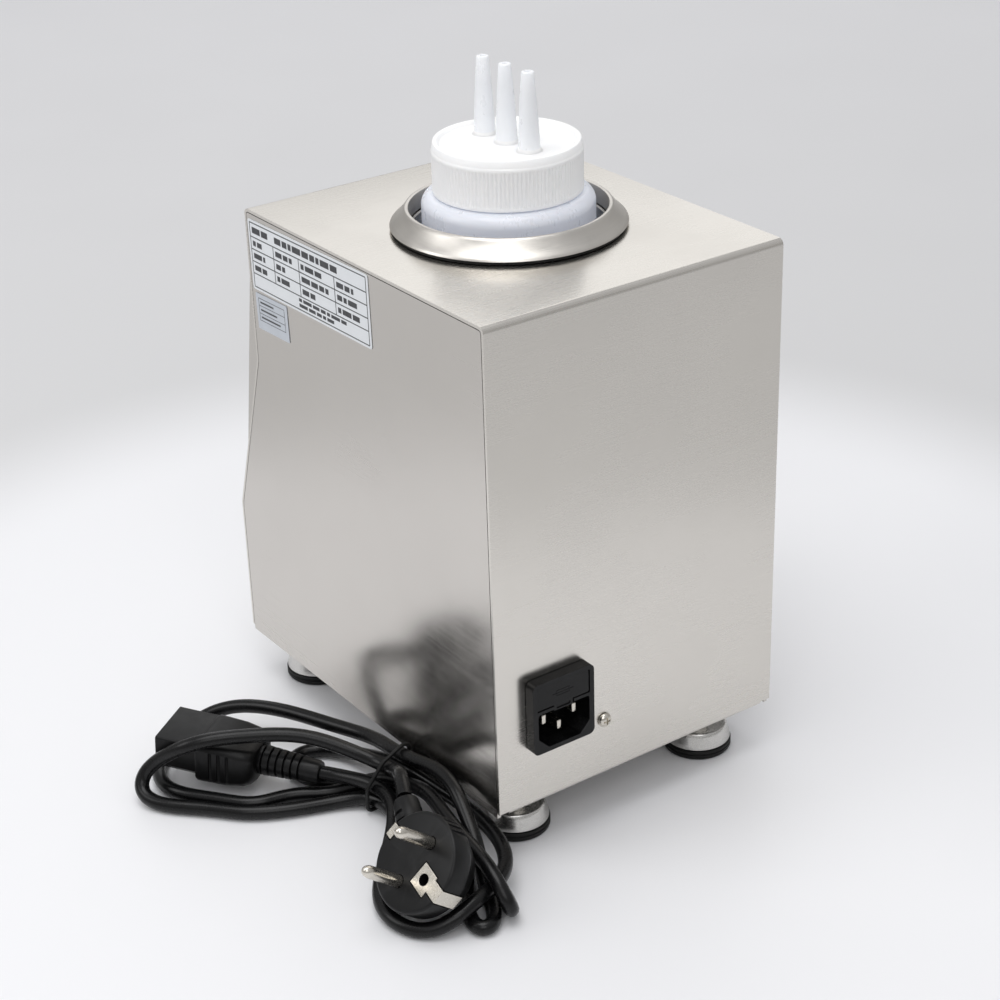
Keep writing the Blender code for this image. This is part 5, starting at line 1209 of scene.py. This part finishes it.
placed(drawer, "gloss", ["fuse_drawer"], body="fuse_carrier", edge=0.28, segments=3)
symbol = []
for sx in (-1, 1):
    symbol.append(block("s", (0.35, 2.4, 0.24), (sx * 2.9, DRAW_Y, FACE - 0.36), R, 0.08, 1))
for sy in (-1, 1):
    symbol.append(block("s", (6.1, 0.35, 0.24), (0, DRAW_Y + sy * 1.05, FACE - 0.36), R, 0.08, 1))
symbol.append(block("s", (9.6, 0.35, 0.24), (0, DRAW_Y, FACE - 0.36), R, 0.08, 1))
placed(merged("drawer_fuse_symbol", symbol), "gloss", body="fuse_carrier")

m = on_rear(EARTH_X, EARTH_Z)
screw = lathe("earth_screw_head", [(0.0, 2.3), (0.7, 2.27), (1.4, 2.12), (2.0, 1.82), (2.45, 1.4), (2.75, 0.9), (2.85, 0.5), (2.8, GAP), (1.7, GAP), (1.7, -9.5), (0.0, -9.5)], m, 64)
screw = cut(screw, block("slot", (3.1, 0.75, 1.7), (0, 0, 2.2), m, 0.12, 2), block("slot", (0.75, 3.1, 1.7), (0, 0, 2.2), m, 0.12, 2))
placed(screw, "nickel", ["earth_screw"], angle=40)
for i, (x, y) in enumerate(SCREWS):
    m = moved(x, y, BASE_Z - GAP)
    s = lathe("base_screw_head_%d" % (i + 1), [(0.0, 7.5), (1.6, 7.5), (1.6, 0.0), (2.9, 0.0), (3.0, -0.5), (2.75, -1.0), (2.3, -1.5), (1.6, -1.8), (0.8, -1.93), (0.0, -1.95)], m, 48)
    s = cut(s, block("slot", (3.0, 0.7, 1.6), (0, 0, -1.9), m), block("slot", (0.7, 3.0, 1.6), (0, 0, -1.9), m))
    placed(s, "nickel", ["base_screw_%d" % (i + 1)], angle=40)

# ---------------------------------------------------------------- labels on the right-hand side panel
face = CASE_W / 2
turn = math.radians(1.1)


def on_side(y, z, angle):
    """Local X towards +Y, Y up, Z out of the right-hand side, turned by angle."""
    return frame_at((face, y, z), (0, math.cos(angle), math.sin(angle)), (0, -math.sin(angle), math.cos(angle)))


LW, LH = 86.2, 28.8
A = on_side(-21.2, 201.9, turn)
placed(flat("rating_film", rectangle(LW, LH, 0, 0, 1.2, 6), 0.1, 0.3, A), "label", ["rating_label"], edge=0.05)
B = on_side(-50.8, 178.3, 2 * turn)
placed(flat("inspection_film", rectangle(23.8, 15.0, 0, 0, 0.5, 4), 0.1, 0.3, B), "label_grey", ["inspection_label"], edge=0.05)


def bar(matrix, x0, x1, y, thick):
    """A printed bar from x0 to x1 at y, in the label's frame."""
    return block("bar", (x1 - x0, thick, 0.04), ((x0 + x1) / 2, y, 0.31), matrix)


def words(matrix, x0, x1, y, thick, seed):
    """Short abstract bars in place of words, from x0 to at most x1."""
    out, x, k = [], x0, seed
    while x < x1 - 1.2:
        run = min(x1 - x, 2.2 + 1.3 * ((k * 7) % 4))
        out.append(bar(matrix, x, x + run, y, thick))
        x += run + 0.9
        k += 1
    return out


rows_y = [LH / 2 - 1.2, LH / 2 - 7.0, LH / 2 - 12.0, LH / 2 - 17.0, LH / 2 - 22.0, -LH / 2 + 1.2]
cols_x = [-LW / 2 + 1.4, -LW / 2 + 18.4, -LW / 2 + 37.2, -LW / 2 + 62.6, LW / 2 - 1.4]
printed = [bar(A, cols_x[0], cols_x[-1], y, 0.42) for y in rows_y]
for x in cols_x:
    low = rows_y[-1] if x in (cols_x[0], cols_x[-1]) else rows_y[4]
    printed.append(block("rule", (0.42, rows_y[1] - low, 0.04) if x not in (cols_x[0], cols_x[-1]) else (0.42, rows_y[0] - low, 0.04), (x, (rows_y[1] + low) / 2 if x not in (cols_x[0], cols_x[-1]) else (rows_y[0] + low) / 2, 0.31), A))
printed += words(A, cols_x[0] + 1.5, cols_x[1] - 2.0, (rows_y[0] + rows_y[1]) / 2, 2.5, 1) + words(A, cols_x[1] + 1.5, 24.0, (rows_y[0] + rows_y[1]) / 2, 2.5, 2)
for i in range(3):
    mid = (rows_y[i + 1] + rows_y[i + 2]) / 2
    for j in range(4):
        room = cols_x[j + 1] - cols_x[j]
        part = 0.48 + 0.13 * ((i * 5 + j * 3) % 4)
        printed += words(A, cols_x[j] + 1.5, cols_x[j] + 1.5 + (room - 3.0) * min(1.0, part), mid, 2.1, i + 2 * j)
for k in range(2):
    printed += words(A, cols_x[0] + 34.0, cols_x[0] + 68.0 - 9.0 * k, rows_y[4] - 1.6 - 2.2 * k, 1.35, k)
placed(merged("rating_grid", printed), "ink")
printed = [bar(B, -9.8, 9.8, y, 0.22) for y in (5.6, 2.6, -0.6, -3.6)]
printed += [block("rule", (0.22, 9.2, 0.04), (x, 1.0, 0.31), B) for x in (-9.8, 9.8)]
printed += [bar(B, -8.6, 1.6 + 2.2 * k, 4.1 - 3.1 * k, 0.7) for k in range(3)]
placed(merged("inspection_grid", printed), "ink")

# ---------------------------------------------------------------- the CAD pieces that stay
KEPT = {
    "base_plate": "steel_hidden", "foot_nut": "nickel", "heater_band": "silicone", "insulation_jacket": "wool", "thermal_cutout": "ceramic", "thermostat_body": "black",
    "thermostat_nut": "nickel", "thermostat_shaft": "nickel", "sensing_bulb": "copper", "capillary_tube": "copper", "fuse_link": "glass", "earth_nut": "nickel",
    "live_wire": "live", "neutral_wire": "neutral", "earth_wire": "earth", "cap_seal": "cap",
}
for node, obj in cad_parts.items():
    for start_of, kind in KEPT.items():
        if node.startswith(start_of):
            obj.data.materials.clear()
            obj.data.materials.append(MATS[kind])

# ---------------------------------------------------------------- floor and light
bm = bmesh.new()
rings = [0.0, 0.2, 0.4, 0.8, 1.6, 4.0, 12.0, 30.0]
rows = []
for r in rings[1:]:
    rows.append([bm.verts.new((r * math.cos(2 * math.pi * k / 64), r * math.sin(2 * math.pi * k / 64), -0.0001)) for k in range(64)])
bm.faces.new(rows[0])
for a, b in zip(rows, rows[1:]):
    for k in range(64):
        bm.faces.new((a[k], b[k], b[(k + 1) % 64], a[(k + 1) % 64]))
bmesh.ops.recalc_face_normals(bm, faces=bm.faces)
bm.normal_update()
if bm.faces[:][0].normal.z < 0:
    bmesh.ops.reverse_faces(bm, faces=bm.faces)
mesh = bpy.data.meshes.new("studio_floor")
bm.to_mesh(mesh)
bm.free()
floor = bpy.data.objects.new("studio_floor", mesh)
scene.collection.objects.link(floor)
# The floor's colour is painted by distance from the machine. It is light within about 0.28 m, as a painted pool of
# light round it. By 0.41 m it fades to a darker grey, which lightens again towards 1.8 m.
floor_mat = bpy.data.materials.new("studio_floor")
floor_mat.use_nodes = True
nt = floor_mat.node_tree
shader = nt.nodes["Principled BSDF"]
place = nt.nodes.new("ShaderNodeTexCoord").outputs["Object"]
far = nt.nodes.new("ShaderNodeVectorMath")
far.operation = "LENGTH"
nt.links.new(place, far.inputs[0])
fade = nt.nodes.new("ShaderNodeMapRange")
fade.interpolation_type = "SMOOTHSTEP"
fade.inputs["From Min"].default_value = 0.28
fade.inputs["From Max"].default_value = 0.41
nt.links.new(far.outputs["Value"], fade.inputs["Value"])
beyond = spread(nt, far.outputs["Value"], 0.0, 1.0, 0.4, 1.8)
outer_tone = between(nt, beyond, FLOOR_MID, FLOOR_FAR)
both = nt.nodes.new("ShaderNodeMix")
both.data_type = "RGBA"
nt.links.new(fade.outputs["Result"], both.inputs["Factor"])
both.inputs["A"].default_value = (*FLOOR_NEAR, 1.0)
nt.links.new(outer_tone, both.inputs["B"])
nt.links.new(both.outputs["Result"], shader.inputs["Base Color"])
nt.links.new(spread(nt, noise(nt, place, 9.0, 4.0), 0.36, 0.46), shader.inputs["Roughness"])
shader.inputs["Specular IOR Level"].default_value = 0.35
floor.data.materials.append(floor_mat)

world = bpy.data.worlds.new("studio")
scene.world = world
world.use_nodes = True
nt = world.node_tree
sky = nt.nodes["Background"]
way = nt.nodes.new("ShaderNodeTexCoord").outputs["Generated"]
parts = nt.nodes.new("ShaderNodeSeparateXYZ")
nt.links.new(way, parts.inputs["Vector"])
height = spread(nt, parts.outputs["Z"], 0.0, 1.0, 0.0, 0.9)
nt.links.new(between(nt, height, WORLD_LOW, WORLD_HIGH), sky.inputs["Color"])
sky.inputs["Strength"].default_value = WORLD_STRENGTH


def softbox(name, place, aim, size, power, tint=(1.0, 1.0, 1.0)):
    light = bpy.data.lights.new(name, "AREA")
    light.shape = "RECTANGLE"
    light.size, light.size_y = size
    light.energy = power
    light.color = tint
    obj = bpy.data.objects.new(name, light)
    scene.collection.objects.link(obj)
    obj.location = place
    obj.rotation_euler = (Vector(aim) - Vector(place)).to_track_quat("-Z", "Y").to_euler()
    return obj


for spec in LIGHTS:
    softbox(*spec)
scene.view_settings.view_transform = "Standard"
scene.view_settings.look = "None"
scene.view_settings.exposure = 0.0
scene.view_settings.gamma = 1.0
